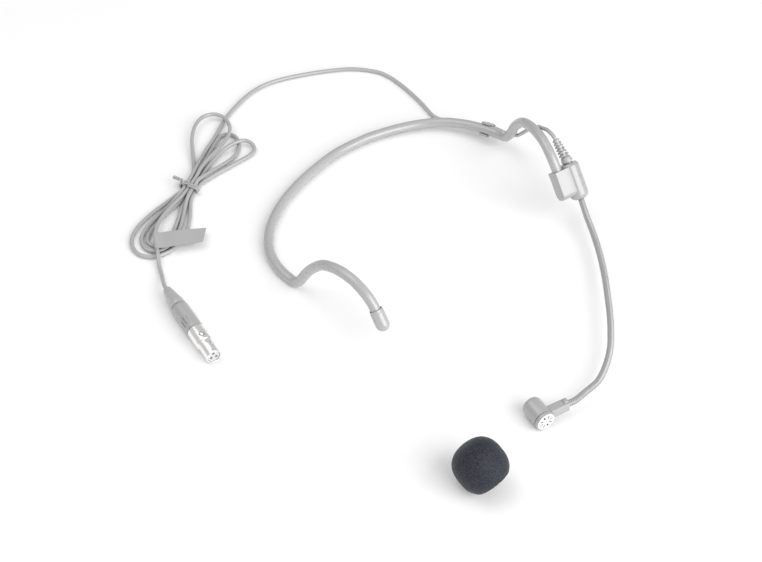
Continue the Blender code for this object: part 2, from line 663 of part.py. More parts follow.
def hank():
    outline = [tuple(Vector(p) - FOOTPRINT_CENTRE.xy) for p in HANK_OUTLINE]
    lift = HANK_HEIGHT / 2 + 0.1
    solid = as_mesh(plate("cable_hank", outline, HANK_HEIGHT, "cable", origin=(0, 0, lift)))
    frame = axis_frame("cable_tie_axis", TIE_CENTRE, (0, 0, 1), (0.92, 0.39, 0))
    notch = box("hank_notch", (-7.5, -2.4, -1.0), (7.5, 2.4, 1.7), frame=frame)
    cut(solid, notch)
    return frame


def flattened(value, power=0.6):
    """A sine or cosine pushed outward, which turns a circle into a rounded box."""
    return math.copysign(abs(value) ** power, value)


def cable_tie(frame):
    """A coated wire wrapped twice round the hank's waist."""
    turns, steps = 2, 15
    half_width, half_height, middle = 6.3, 2.75, 3.4
    drift = 3.0  # from the first turn to the last, along the hank
    points = []
    for k in range(turns * steps + 1):
        angle = math.radians(90 - 360 * k / steps)
        across = half_width * flattened(math.cos(angle))
        along = drift * (k / (turns * steps) - 0.5)
        up = middle + half_height * flattened(math.sin(angle))
        points.append(in_frame(frame, across, along, up))
    tube("cable_tie", points, TIE_D, "rubber")


def cable_flag():
    """A blank label folded round the cable, standing out as a flag over the hank."""
    frame = axis_frame("cable_flag_axis", (-99.0, 68.0, HANK_HEIGHT + 0.9), (0, 0, 1), (0.6, 0.8, 0))
    box("cable_flag", (-12.5, -6.0, -0.3), (12.5, 6.0, 0.3), "label", frame)


clear_scene()
PARTS = new_collection("headset_microphone")
CUTTERS = new_collection("cutters", hidden=True)
band = neckband()
end_cap(band)
cable_clip(band)
boom_holder = holder()
relief_tip, relief_direction = strain_relief(boom_holder)
gooseneck(boom_holder)
capsule()
windscreen()
plug()
cables(relief_tip, relief_direction)
cable_tie(hank())
cable_flag()
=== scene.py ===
"""Looks of a headset microphone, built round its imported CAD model.

Lengths are millimetres, in a frame that has its origin on the surface, midway between the
lowest points of the two ear hooks. The wearer faces -Y, +Z is up and the boom is at +X.
at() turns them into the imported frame's metres.
"""

import math

import bmesh
import bpy
import numpy as np
from mathutils import Matrix, Vector, noise


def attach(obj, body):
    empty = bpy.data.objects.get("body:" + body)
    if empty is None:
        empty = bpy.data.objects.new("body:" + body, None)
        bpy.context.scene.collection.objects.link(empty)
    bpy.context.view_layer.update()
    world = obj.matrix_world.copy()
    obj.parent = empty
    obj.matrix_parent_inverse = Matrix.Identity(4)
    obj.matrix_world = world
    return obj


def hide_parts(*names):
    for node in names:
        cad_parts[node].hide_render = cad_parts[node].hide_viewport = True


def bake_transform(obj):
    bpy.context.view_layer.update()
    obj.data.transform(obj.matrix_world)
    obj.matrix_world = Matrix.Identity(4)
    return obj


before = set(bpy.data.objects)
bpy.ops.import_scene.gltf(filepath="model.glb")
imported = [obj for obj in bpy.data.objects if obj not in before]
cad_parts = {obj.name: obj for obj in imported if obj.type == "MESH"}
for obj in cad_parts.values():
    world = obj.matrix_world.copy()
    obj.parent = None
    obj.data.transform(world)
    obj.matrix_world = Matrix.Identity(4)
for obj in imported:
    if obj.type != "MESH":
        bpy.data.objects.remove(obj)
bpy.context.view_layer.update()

MM = 0.001
FOOTPRINT_CENTRE = Vector((-21.84, -52.23, 0.0))

# The camera and the light
CAMERA_TARGET = Vector((-48.67, -28.61, 0.0))
CAMERA_DISTANCE = 820.0
CAMERA_AZIMUTH = -46.0
CAMERA_ELEVATION = 43.93
LENS = 75.28
SENSOR_WIDTH = 36.0
SKY = 0.58
OVERHEAD_POWER = 2.8  # watts, as is the next
WALL_POWER = 25.0
FLOOR_HALF_SIZE = 4.0  # metres, as is the next, which keeps undersides out of its plane
FLOOR_DROP = 0.0001
FLOOR_WHITE = 0.96

# Surfaces
SPECULAR_LEVEL = 1.0
IOR = 1.6
GRAIN_DEPTH = 0.00006  # metres
SHARP_ANGLE = 38  # degrees between faces that make an edge sharp

ROUTE_STEPS = 24  # to each stretch between two given points of a route

# Neckband
SLEEVE_D = 5.4
SLEEVE_BORE = 2.2
SOCKET_DEPTH = 13.2
END_CAP_D = 7.1
END_CAP_LIP_D = 6.6  # at its mouth
CLIP_PLACE = Vector((74.7, 8.4, 8.1))
CLIP_EYE = (4.7, -1.0)
CLIP_LENGTH = 5.0
CLIP_THICKNESS = 1.0
CLIP_LIP_R = 0.62
CLIP_OPENS = (-150, 80)  # degrees round the band where its two lips are

# Boom holder and strain relief
BLOCK_WIDTH = 9.1
BLOCK_HEIGHT = 7.9
BLOCK_LENGTH = 15.5
BLOCK_OFFSET = 1.0
BARREL_D = 10.4
BARREL_AXIS = (8.0, -0.6)
BARREL_TOP = -1.4
BARREL_BOTTOM = 18.7
RELIEF_LENGTH = 14.0
RELIEF_LEAN = (-1.8, -0.95)
RELIEF_RIBS = 6
RELIEF_SKIRT = 2.6  # the length of its plain, wider foot
RELIEF_CORE_R = 1.35
RIB_TURN = 148  # degrees round it that each rib takes; two make a ring

# Gooseneck
GOOSENECK_D = 3.5
GOOSENECK_BORE = 1.9
WIRE_PITCH = 1.05
GROOVE_HALF = 0.14  # half the depth of the groove between the wire's turns
SWING_HALF = 14.0  # half the length of the stretch at each bend
NOD_HALF = 8.0

# Capsule
CAPSULE_D = 10.2
CAPSULE_LENGTH = 13.4
CAPSULE_BORE = 8.2
SEAM = -2.4  # where the front ring meets the body
ARM_LENGTH = 9.3
ARM_WIDTH = 4.4
ARM_HEIGHT = 5.2
ARM_BEHIND_FACE = 3.9
ARM_RISE = 0.7

# Windscreen
FOAM_D = 24.6
FOAM_LENGTH = 24.0
FOAM_BORE = 10.4
FOAM_BORE_DEPTH = 15.0
# Noise that moves its skin: two scales, the second's share and the most it moves, in metres
FOAM_COARSE = 900.0
FOAM_FINE = 2100.0
FOAM_FINE_SHARE = 0.6
FOAM_ROUGH = 0.00009

# Cable and plug
CABLE_D = 2.2
LOWER_STRANDS_Z = 1.2  # the tied strands lie in two layers
UPPER_STRANDS_Z = 3.3
SLOT_PITCH = 1.15
MIDDLE_SLOT = 3
TIE_D = 1.3
FLAG_HALF_WIDTH = 6.0
FLAG_HALF_FILM = 0.06
BOOT_START = 2.6
BOOT_LENGTH = 17.0
BACKSHELL_END = 36.0
COLLAR_END = 47.0
NOSE_END = 56.8
COLLAR_D = 9.0
NOSE_D = 7.8
SHELL_BORE_R = 3.3
INSERT_R = 3.2
INSERT_TAIL = 46.0
CONTACT_RING_R = 1.55
LATCH_Z = 43.4
LATCH_WINDOW_HALF = 1.7
SCREW_Z = 50.3
KEYWAY_Z = 52.2
# Degrees round the plug, over its top, from the left as one faces its tip
LATCH_ANGLE = 90
SCREW_ANGLE = 125
KEYWAY_ANGLE = 78

# Where things lie
HOOK_END = Vector((52.9, -59.1, 30.0))
HOOK_END_DIRECTION = Vector((-0.120, -0.611, -0.782)).normalized()
BLOCK_FACE = Vector((-0.221, -0.752, 0.621))
END_CAP_TIP = Vector((-82.6, -62.4, 17.0))
CAPSULE_FACE = Vector((-67.2, -153.9, CAPSULE_D / 2))
CAPSULE_DIRECTION = Vector((-0.268, -0.963, 0.0)).normalized()
FOAM_CENTRE = Vector((-113.2, -153.0, 13.02))
FOAM_MOUTH_DIRECTION = Vector((0.10, -0.76, -0.64)).normalized()
PLUG_TAIL = Vector((-131.4, 44.3, COLLAR_D / 2))
PLUG_DIRECTION = Vector((-0.269, -0.963, 0.0)).normalized()
TIE_CENTRE = Vector((-70.5, 95.6, 0.0))
TIE_ALONG = Vector((0.92, 0.39, 0.0))  # which way the hank runs through its tie

# The neckband's centre line, from the bare hook's end round the head to the boom's hook
NECKBAND_ROUTE = [
    (-82.5, -58.6, 22.4), (-82.5, -54.5, 27.1), (-82.5, -49.3, 30.6), (-82.4, -43.0, 32.8),
    (-82.4, -36.8, 33.5), (-82.3, -31.9, 33.0), (-82.3, -27.0, 31.8), (-82.2, -20.9, 29.0),
    (-82.2, -15.3, 23.8), (-82.1, -9.9, 17.0), (-82.1, -6.0, 10.6), (-82.0, -3.0, 5.8),
    (-81.9, 0.8, 2.9), (-81.8, 5.0, 2.7), (-81.2, 10.7, 2.7), (-79.6, 16.9, 2.7),
    (-76.4, 24.3, 2.7), (-70.8, 32.0, 2.7), (-60.8, 40.9, 2.7), (-45.2, 49.2, 2.7),
    (-28.0, 54.6, 2.7), (-11.0, 57.5, 2.7), (6.0, 58.8, 2.7), (23.5, 56.5, 2.8),
    (33.9, 53.5, 3.0), (44.1, 49.1, 3.4), (56.1, 41.7, 4.2), (65.4, 32.4, 5.4),
    (70.7, 22.9, 6.5), (73.6, 13.8, 7.6), (75.0, 6.0, 8.4), (75.6, -1.0, 9.0),
    (74.6, -5.2, 10.5), (73.0, -8.7, 13.8), (71.6, -12.3, 19.4), (69.6, -16.0, 26.8),
    (66.9, -22.5, 34.6), (64.0, -29.5, 38.3), (61.0, -36.3, 40.0), (57.7, -44.1, 40.1),
    (55.3, -50.0, 38.3), (53.6, -54.9, 35.0),
]
GOOSENECK_ROUTE = [
    (55.5, -79.0, 9.6), (50.2, -87.5, 7.3), (42.7, -97.1, 6.9), (34.3, -106.5, 7.1),
    (25.3, -115.7, 7.6), (16.1, -124.4, 8.0), (7.0, -132.8, 8.3), (-2.0, -140.4, 8.4),
    (-11.2, -147.3, 8.3), (-21.2, -152.7, 8.0), (-31.5, -156.1, 7.4), (-41.1, -155.9, 6.6),
]
SWING_AT = 5  # the gooseneck's points where it bends
NOD_AT = 10
LEAD_IN_ROUTE = [
    (79.0, 11.2, 6.9), (79.6, 6.3, 7.5), (79.9, 1.5, 7.9), (79.3, -4.0, 9.0),
    (77.6, -9.1, 12.2), (75.3, -13.4, 15.7), (72.9, -17.0, 19.6), (71.0, -20.9, 24.3),
    (69.7, -25.1, 29.3), (68.3, -29.4, 33.8), (66.6, -33.8, 38.0), (64.0, -40.0, 41.9),
]
# The free cable, from the clip to the hank
CABLE_ROUTE = [
    (79.0, 11.2, 6.9), (78.7, 13.0, 6.5), (78.2, 17.5, 4.6), (77.2, 22.5, 2.6),
    (75.6, 27.5, 1.5), (73.2, 32.6, 1.2), (70.9, 37.6, 1.2), (69.8, 42.2, 1.2),
    (70.4, 46.5, 1.2), (71.9, 51.0, 1.2), (73.6, 56.0, 1.2), (75.3, 62.5, 1.2),
    (77.0, 70.0, 1.2), (78.5, 78.7, 1.2), (79.2, 88.0, 1.2), (77.6, 97.0, 1.2),
    (69.6, 109.2, 1.2), (57.6, 118.7, 1.2), (44.6, 126.6, 1.2), (32.0, 132.6, 1.2),
    (20.1, 135.6, 1.2), (8.3, 135.0, 1.2), (-4.4, 131.8, 1.2), (-14.0, 128.3, 1.2),
    (-22.0, 124.4, 1.2), (-31.0, 119.5, 1.2), (-42.0, 114.2, 1.6), (-52.5, 108.2, 2.6),
    (-62.0, 102.5, 3.3),
]
# The hank's loops in the order that the cable takes them. A slot is a place in the tie,
# counted across it from the left; the even ones lie on the surface and the odd ones on them.
HANK_PASSES = [
    (1, [
        (-79.5, 94.6, 2.9), (-88.5, 92.8, 1.6), (-98.0, 91.0, 1.2), (-107.4, 88.2, 1.2),
        (-113.9, 84.2, 1.2), (-117.4, 78.4, 1.2), (-117.0, 72.9, 1.2), (-113.4, 69.6, 1.2),
        (-107.6, 69.0, 1.2), (-100.6, 71.6, 1.2), (-93.0, 76.7, 1.2), (-85.2, 83.2, 1.7),
        (-77.6, 89.3, 2.9),
    ]),
    (5, [
        (-62.0, 96.8, 3.3), (-49.5, 98.0, 1.8), (-36.8, 98.6, 1.2), (-29.3, 101.4, 1.2),
        (-24.3, 106.8, 1.2), (-22.0, 112.4, 1.2), (-23.6, 116.3, 1.2), (-27.4, 118.0, 1.2),
        (-32.2, 116.4, 1.2), (-40.0, 112.4, 1.2), (-51.5, 106.2, 1.2), (-62.5, 100.3, 1.2),
    ]),
    (2, [
        (-79.0, 92.3, 1.2), (-88.0, 90.2, 1.2), (-95.6, 88.5, 1.2), (-103.0, 86.2, 1.2),
        (-107.4, 84.5, 1.2), (-111.3, 82.3, 1.2), (-113.9, 78.8, 1.2), (-113.4, 74.9, 1.2),
        (-110.2, 72.4, 1.2), (-105.9, 72.6, 1.2), (-101.8, 74.5, 1.2), (-98.0, 76.6, 1.2),
        (-90.5, 81.8, 1.2), (-83.0, 87.4, 1.2), (-77.3, 90.5, 1.2),
    ]),
    (4, [
        (-62.0, 98.0, 1.2), (-51.0, 102.6, 1.3), (-42.5, 105.0, 1.9), (-34.5, 106.2, 3.0),
        (-27.2, 105.5, 3.5), (-22.4, 103.4, 3.3), (-20.8, 99.5, 2.5), (-22.4, 95.6, 1.6),
        (-27.2, 93.7, 1.2), (-40.0, 94.3, 1.2), (-51.8, 95.0, 1.2), (-62.0, 95.0, 1.2),
    ]),
    (6, [
        (-77.0, 87.3, 1.2), (-83.3, 80.3, 1.2), (-89.6, 74.4, 1.2), (-96.5, 69.6, 1.2),
        (-104.0, 66.5, 1.2), (-112.0, 65.9, 1.2), (-118.9, 68.6, 1.2), (-122.8, 74.2, 1.2),
        (-122.0, 81.6, 1.2), (-116.9, 88.2, 1.2), (-108.6, 92.6, 1.2), (-97.5, 95.2, 1.2),
        (-86.5, 96.4, 1.2), (-78.0, 97.3, 1.2),
    ]),
    (0, [
        (-63.8, 101.8, 1.2), (-57.2, 107.4, 1.4), (-48.4, 118.3, 2.2), (-42.0, 126.0, 3.0),
        (-34.2, 132.6, 3.5), (-26.0, 136.0, 3.6), (-19.4, 134.2, 3.6), (-16.8, 128.4, 3.6),
        (-18.3, 121.8, 3.6), (-21.8, 116.6, 3.6), (-27.4, 112.4, 3.6), (-36.0, 109.0, 3.6),
        (-46.5, 106.2, 3.5), (-55.0, 103.2, 3.5), (-62.0, 99.4, 3.4),
    ]),
    (3, [
        (-79.5, 92.2, 3.4), (-87.5, 90.2, 3.5), (-95.6, 87.6, 3.5), (-102.3, 84.3, 3.6),
        (-107.2, 80.4, 3.6), (-111.0, 75.8, 3.6), (-114.3, 70.9, 3.5), (-117.5, 66.4, 3.5),
        (-120.4, 62.4, 1.8), (-123.1, 58.0, 1.3), (-125.6, 53.8, 1.8), (-128.2, 49.8, 3.0),
        (-130.1, 46.7, 4.1), (-131.4, 44.3, 4.5), (-132.5, 40.4, 4.5),
    ]),
]
FLAG_MIDDLE = Vector((-112.0, 74.3, 3.6))
FLAG_ALONG = Vector((-0.565, -0.825, 0.0))


# Places


def at(point):
    return (Vector(point) - FOOTPRINT_CENTRE) * MM


def place(origin, z_axis, y_hint=(0, 0, 1)):
    """A matrix from a piece's own millimetres to metres: its Z along z_axis, its Y near y_hint."""
    z = Vector(z_axis).normalized()
    x = Vector(y_hint).cross(z).normalized()
    y = z.cross(x)
    turn = Matrix((x, y, z)).transposed().to_4x4()
    return Matrix.Translation(at(origin)) @ turn @ Matrix.Scale(MM, 4)


def inside(matrix, x=0.0, y=0.0, z=0.0):
    """The route's millimetres of a point given in a piece's own."""
    return (matrix @ Vector((x, y, z))) / MM + FOOTPRINT_CENTRE


def shifted(matrix, x=0.0, y=0.0, z=0.0, turn=0.0, about="Z"):
    """The same place, moved by own millimetres and then turned by degrees."""
    return matrix @ Matrix.Translation((x, y, z)) @ Matrix.Rotation(math.radians(turn), 4, about)


def smooth_route(points, spacing):
    """Points about spacing apart on a Catmull-Rom curve through the given ones."""
    p = np.array([tuple(q) for q in points], float)
    p = np.vstack([2 * p[0] - p[1], p, 2 * p[-1] - p[-2]])
    fine = []
    for a, b, c, d in zip(p, p[1:], p[2:], p[3:]):
        t = np.linspace(0, 1, ROUTE_STEPS, endpoint=False)[:, None]
        fine.append(
            0.5 * (2 * b + (c - a) * t + (2 * a - 5 * b + 4 * c - d) * t**2
                   + (3 * b - a - 3 * c + d) * t**3)
        )
    fine = np.vstack([*fine, p[-2:-1]])
    run = np.concatenate([[0], np.cumsum(np.linalg.norm(np.diff(fine, axis=0), axis=1))])
    count = max(2, round(run[-1] / spacing) + 1)
    even = np.linspace(0, run[-1], count)
    return [Vector([np.interp(s, run, fine[:, k]) for k in range(3)]) for s in even]


def nearest(points, place_mm):
    return min(range(len(points)), key=lambda k: (points[k] - Vector(place_mm)).length)


def route_length(points):
    return sum((b - a).length for a, b in zip(points, points[1:]))


def flattened(value, power=0.7):
    """A sine or cosine made squarer, with its sign kept."""
    return math.copysign(abs(value) ** power, value)


# Shapes


def mesh_object(name, vertices, faces, matrix=None):
    mesh = bpy.data.meshes.new(name)
    mesh.from_pydata([tuple(v) for v in vertices], [], faces)
    if matrix is not None:
        mesh.transform(matrix)
    shape = bmesh.new()
    shape.from_mesh(mesh)
    bmesh.ops.recalc_face_normals(shape, faces=shape.faces)
    shape.to_mesh(mesh)
    shape.free()
    obj = bpy.data.objects.new(name, mesh)
    bpy.context.scene.collection.objects.link(obj)
    return obj


def arc(radius, start, end, count, centre=(0.0, 0.0)):
    angles = [math.radians(start + (end - start) * k / (count - 1)) for k in range(count)]
    return [(centre[0] + radius * math.cos(a), centre[1] + radius * math.sin(a)) for a in angles]


def rounded(outline, radius, closed=False, steps=4):
    """The outline with each corner cut to a curve; a point (x, y, r) has its own radius."""
    count = len(outline)
    made = []
    for k, corner in enumerate(outline):
        here = Vector(corner[:2])
        size = corner[2] if len(corner) > 2 else radius
        if (not closed and k in (0, count - 1)) or not size:
            made.append(tuple(here))
            continue
        before = Vector(outline[k - 1][:2]) - here
        after = Vector(outline[(k + 1) % count][:2]) - here
        start = here + before.normalized() * min(size, before.length * 0.48)
        end = here + after.normalized() * min(size, after.length * 0.48)
        for t in (i / steps for i in range(steps + 1)):
            made.append(tuple(start.lerp(here, t).lerp(here.lerp(end, t), t)))
    return made


def lathe(name, outline, matrix, steps=64, ring=False, turn=(0.0, 360.0)):
    """An outline of (radius, z) turned about Z. Less than a full turn gets flat ends."""
    whole = turn[1] - turn[0] >= 360
    around = steps if whole else steps + 1
    angles = [math.radians(turn[0] + (turn[1] - turn[0]) * j / steps) for j in range(around)]
    vertices, rows = [], []
    for radius, z in outline:
        if radius < 1e-6:
            rows.append([len(vertices)] * around)
            vertices.append((0, 0, z))
        else:
            rows.append(list(range(len(vertices), len(vertices) + around)))
            vertices += [(radius * math.cos(a), radius * math.sin(a), z) for a in angles]
    faces = []
    for a, b in zip(rows, rows[1:] + rows[:1] if ring else rows[1:]):
        for j in range(steps):
            k = (j + 1) % around
            corners = list(dict.fromkeys((a[j], a[k], b[k], b[j])))
            if len(corners) > 2:
                faces.append(corners)
    if not whole:
        faces += [[row[0] for row in rows], [row[-1] for row in rows]]
    return mesh_object(name, vertices, faces, matrix)


def rod(radius, low, high):
    """A plain cylinder's outline, for a cutter."""
    return [(0, high), (radius, high), (radius, low), (0, low)]


def bevel_edges(shape, edges, offset):
    bmesh.ops.bevel(shape, geom=edges, offset=offset, segments=3, profile=0.5, affect="EDGES")


def prism(name, outline, low, high, matrix, rounding=0.0):
    """A flat outline given a thickness along Z, its two rims rounded."""
    count = len(outline)
    vertices = [(x, y, z) for z in (low, high) for x, y in outline]
    faces = [list(range(count))[::-1], list(range(count, 2 * count))]
    faces += [[k, (k + 1) % count, count + (k + 1) % count, count + k] for k in range(count)]
    obj = mesh_object(name, vertices, faces)
    if rounding:
        shape = bmesh.new()
        shape.from_mesh(obj.data)
        rims = [e for e in shape.edges if abs(e.verts[0].co.z - e.verts[1].co.z) < 1e-6]
        bevel_edges(shape, rims, rounding)
        shape.to_mesh(obj.data)
        shape.free()
    obj.data.transform(matrix)
    return obj


def block(name, low, high, matrix, rounding=0.3):
    """A box with every edge rounded."""
    size = [b - a for a, b in zip(low, high)]
    middle = [(a + b) / 2 for a, b in zip(low, high)]
    shape = bmesh.new()
    bmesh.ops.create_cube(shape, size=1.0)
    bmesh.ops.scale(shape, vec=size, verts=shape.verts)
    bmesh.ops.translate(shape, vec=middle, verts=shape.verts)
    if rounding:
        bevel_edges(shape, list(shape.edges), rounding)
    mesh = bpy.data.meshes.new(name)
    shape.to_mesh(mesh)
    shape.free()
    mesh.transform(matrix)
    obj = bpy.data.objects.new(name, mesh)
    bpy.context.scene.collection.objects.link(obj)
    return obj


def carve(target, *cutters, operation="DIFFERENCE"):
    """Cuts the cutters from the target, or joins them to it, for good."""
    for cutter in cutters:
        step = target.modifiers.new(cutter.name, "BOOLEAN")
        step.operation = operation
        step.solver = "EXACT"
        step.object = cutter
    bpy.context.view_layer.update()
    graph = bpy.context.evaluated_depsgraph_get()
    mesh = bpy.data.meshes.new_from_object(target.evaluated_get(graph))
    target.modifiers.clear()
    target.data = mesh
    for cutter in cutters:
        bpy.data.objects.remove(cutter, do_unlink=True)
    return target


def sweep(name, points, outer, inner=None, sides=20, phase=0.0):
    """A round tube along route points. outer is a radius, or a function of (along, angle)."""
    ways = [(b - a).normalized() for a, b in zip(points, points[1:])]
    ways = [ways[0], *((a + b).normalized() for a, b in zip(ways, ways[1:])), ways[-1]]
    side = ways[0].orthogonal().normalized()
    radius = outer if callable(outer) else lambda along, angle: outer
    angles = [2 * math.pi * j / sides for j in range(sides)]
    vertices, along = [], phase
    skins = [radius] + ([lambda along, angle: inner] if inner else [])
    rings = []
    for k, (point, way) in enumerate(zip(points, ways)):
        side = (side - way * side.dot(way)).normalized()
        other = way.cross(side)
        along += (point - points[k - 1]).length if k else 0.0
        for skin in skins:
            rings.append(list(range(len(vertices), len(vertices) + sides)))
            for angle in angles:
                out = side * math.cos(angle) + other * math.sin(angle)
                vertices.append(at(point + out * skin(along, angle)))
    faces = []

    def join(a, b):
        faces.extend([a[j], a[(j + 1) % sides], b[(j + 1) % sides], b[j]] for j in range(sides))

    count = len(skins)
    for a, b in zip(rings, rings[count:]):
        join(a, b)
    if inner:
        join(rings[0], rings[1])
        join(rings[-2], rings[-1])
    else:
        faces += [rings[0], rings[-1]]
    return mesh_object(name, vertices, faces)


# Materials


def surface(name, colour, roughness, metallic=0.0, mottle=0.05, patch=55.0, grain=0.12,
            fine=2600.0, turned_along=None):
    """A Principled material: patches of slightly different tone and gloss, and a fine grain.

    turned_along, a direction, draws the grain out into the rings that a lathe leaves."""
    mat = bpy.data.materials.new(name)
    mat.use_nodes = True
    tree = mat.node_tree
    link = tree.links.new
    shader = tree.nodes["Principled BSDF"]
    shader.inputs["Metallic"].default_value = metallic
    shader.inputs["Specular IOR Level"].default_value = SPECULAR_LEVEL
    shader.inputs["IOR"].default_value = IOR
    where = tree.nodes.new("ShaderNodeTexCoord").outputs["Object"]
    patches = tree.nodes.new("ShaderNodeTexNoise")
    patches.inputs["Scale"].default_value = patch
    patches.inputs["Detail"].default_value = 3.0
    link(where, patches.inputs["Vector"])
    tone = tree.nodes.new("ShaderNodeMix")
    tone.data_type = "RGBA"
    tone.inputs["A"].default_value = (*(c * (1 - mottle) for c in colour), 1)
    tone.inputs["B"].default_value = (*(min(1.0, c * (1 + mottle)) for c in colour), 1)
    link(patches.outputs["Fac"], tone.inputs["Factor"])
    link(tone.outputs["Result"], shader.inputs["Base Color"])
    gloss = tree.nodes.new("ShaderNodeMapRange")
    gloss.inputs["From Min"].default_value = 0.3
    gloss.inputs["From Max"].default_value = 0.7
    gloss.inputs["To Min"].default_value = roughness * 0.88
    gloss.inputs["To Max"].default_value = roughness * 1.12
    link(patches.outputs["Fac"], gloss.inputs["Value"])
    link(gloss.outputs["Result"], shader.inputs["Roughness"])
    grains = tree.nodes.new("ShaderNodeTexNoise")
    grains.inputs["Scale"].default_value = fine
    grains.inputs["Detail"].default_value = 2.0
    if turned_along is not None:
        lined_up = tree.nodes.new("ShaderNodeMapping")
        turn = Vector(turned_along).to_track_quat("Z", "Y").inverted().to_euler()
        lined_up.inputs["Rotation"].default_value = turn
        squeezed = tree.nodes.new("ShaderNodeMapping")
        squeezed.inputs["Scale"].default_value = (0.02, 0.02, 1.0)
        link(where, lined_up.inputs["Vector"])
        link(lined_up.outputs["Vector"], squeezed.inputs["Vector"])
        link(squeezed.outputs["Vector"], grains.inputs["Vector"])
    else:
        link(where, grains.inputs["Vector"])
    bump = tree.nodes.new("ShaderNodeBump")
    bump.inputs["Strength"].default_value = grain
    bump.inputs["Distance"].default_value = GRAIN_DEPTH
    link(grains.outputs["Fac"], bump.inputs["Height"])
    link(bump.outputs["Normal"], shader.inputs["Normal"])
    return mat


def foam_surface():
    """Open-cell foam: cell mouths painted dark as shade, in a lighter skin of walls, with no
    gloss.
    """
    mat = bpy.data.materials.new("windscreen_foam")
    mat.use_nodes = True
    tree = mat.node_tree
    link = tree.links.new
    shader = tree.nodes["Principled BSDF"]
    shader.inputs["Roughness"].default_value = 0.55
    shader.inputs["Specular IOR Level"].default_value = 0.28
    shader.inputs["Sheen Weight"].default_value = 0.05
    shader.inputs["Sheen Roughness"].default_value = 0.5
    where = tree.nodes.new("ShaderNodeTexCoord").outputs["Object"]
    cells = tree.nodes.new("ShaderNodeTexVoronoi")
    cells.inputs["Scale"].default_value = 2600.0
    link(where, cells.inputs["Vector"])
    clumps = tree.nodes.new("ShaderNodeTexNoise")
    clumps.inputs["Scale"].default_value = 1500.0
    clumps.inputs["Detail"].default_value = 4.0
    link(where, clumps.inputs["Vector"])
    pore_shade_and_relief = tree.nodes.new("ShaderNodeMath")
    pore_shade_and_relief.operation = "MULTIPLY"
    link(cells.outputs["Distance"], pore_shade_and_relief.inputs[0])
    link(clumps.outputs["Fac"], pore_shade_and_relief.inputs[1])
    # painted shade: the ramp darkens the cell mouths, where shade falls into the pores, against
    # the lighter walls; the same pattern also drives the bump
    tone = tree.nodes.new("ShaderNodeValToRGB")
    tone.color_ramp.elements[0].position = 0.10
    tone.color_ramp.elements[0].color = (0.0030, 0.0037, 0.0058, 1)
    tone.color_ramp.elements[1].position = 0.42
    tone.color_ramp.elements[1].color = (0.040, 0.045, 0.064, 1)
    link(pore_shade_and_relief.outputs["Value"], tone.inputs["Fac"])
    link(tone.outputs["Color"], shader.inputs["Base Color"])
    bump = tree.nodes.new("ShaderNodeBump")
    bump.inputs["Strength"].default_value = 0.8
    bump.inputs["Distance"].default_value = 0.0003
    link(pore_shade_and_relief.outputs["Value"], bump.inputs["Height"])
    link(bump.outputs["Normal"], shader.inputs["Normal"])
    return mat


def grey(value, warmth=0.0):
    return (value * (1 + warmth), value, value * (1 - warmth))


LOOKS = {
    "sleeve_rubber": surface("sleeve_rubber", grey(0.41), 0.27, grain=0.10, fine=1900.0),
    "housing_plastic": surface("housing_plastic", grey(0.375), 0.26, mottle=0.03, fine=3200.0),
    "insert_plastic": surface("insert_plastic", grey(0.62), 0.30, mottle=0.03, fine=3200.0),
    "gooseneck_steel": surface("gooseneck_steel", grey(0.38), 0.13, 0.35, grain=0.03),
    "spring_steel": surface("spring_steel", grey(0.60), 0.30, 1.0),
    "plug_nickel": surface("plug_nickel", grey(0.92, 0.01), 0.27, 1.0, mottle=0.02, grain=0.015,
                           fine=9000.0, turned_along=PLUG_DIRECTION),
    "contact_gold": surface("contact_gold", (0.80, 0.60, 0.28), 0.25, 1.0),
    "cable_jacket": surface("cable_jacket", grey(0.40), 0.30, grain=0.12, fine=2200.0),
    "tie_plastic": surface("tie_plastic", grey(0.38), 0.30, fine=1500.0),
    "grille_plastic": surface("grille_plastic", grey(0.80), 0.40, mottle=0.02),
    "label_film": surface("label_film", grey(0.42), 0.28, mottle=0.02, fine=700.0),
    "capsule_felt": surface("capsule_felt", grey(0.10), 0.9, grain=0.6, fine=4000.0),
    "circuit_board": surface("circuit_board", (0.05, 0.16, 0.08), 0.45),
    "windscreen_foam": foam_surface(),
}


def piece(obj, look, body, nodes=()):
    """Gives a mesh its look and has it ride on a body, in place of the CAD nodes named."""
    obj.data.materials.clear()
    obj.data.materials.append(LOOKS[look])
    if obj.type == "MESH":
        obj.data.shade_smooth()
        obj.data.set_sharp_from_angle(angle=math.radians(SHARP_ANGLE))
    if body:
        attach(obj, body)
    if nodes:
        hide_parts(*nodes)
    return obj


# The camera and the room


def make_camera():
    azimuth, elevation = math.radians(CAMERA_AZIMUTH), math.radians(CAMERA_ELEVATION)
    flat = math.cos(elevation)
    back = Vector((math.sin(azimuth) * flat, -math.cos(azimuth) * flat, math.sin(elevation)))
    data = bpy.data.cameras.new("camera")
    data.lens = LENS
    data.sensor_width = SENSOR_WIDTH
    data.clip_start = 0.01
    camera = bpy.data.objects.new("camera", data)
    camera.location = at(CAMERA_TARGET + back * CAMERA_DISTANCE)
    camera.rotation_mode = "QUATERNION"
    camera.rotation_quaternion = (-back).to_track_quat("-Z", "Y")
    bpy.context.scene.collection.objects.link(camera)
    bpy.context.scene.camera = camera


def soft_light(name, towards, distance, size, power):
    """A square area light that looks at the object's middle from that direction."""
    way = Vector(towards).normalized()
    data = bpy.data.lights.new(name, "AREA")
    data.size = size
    data.energy = power
    light = bpy.data.objects.new(name, data)
    light.location = at(CAMERA_TARGET) + way * distance
    light.rotation_mode = "QUATERNION"
    light.rotation_quaternion = (-way).to_track_quat("-Z", "Y")
    bpy.context.scene.collection.objects.link(light)


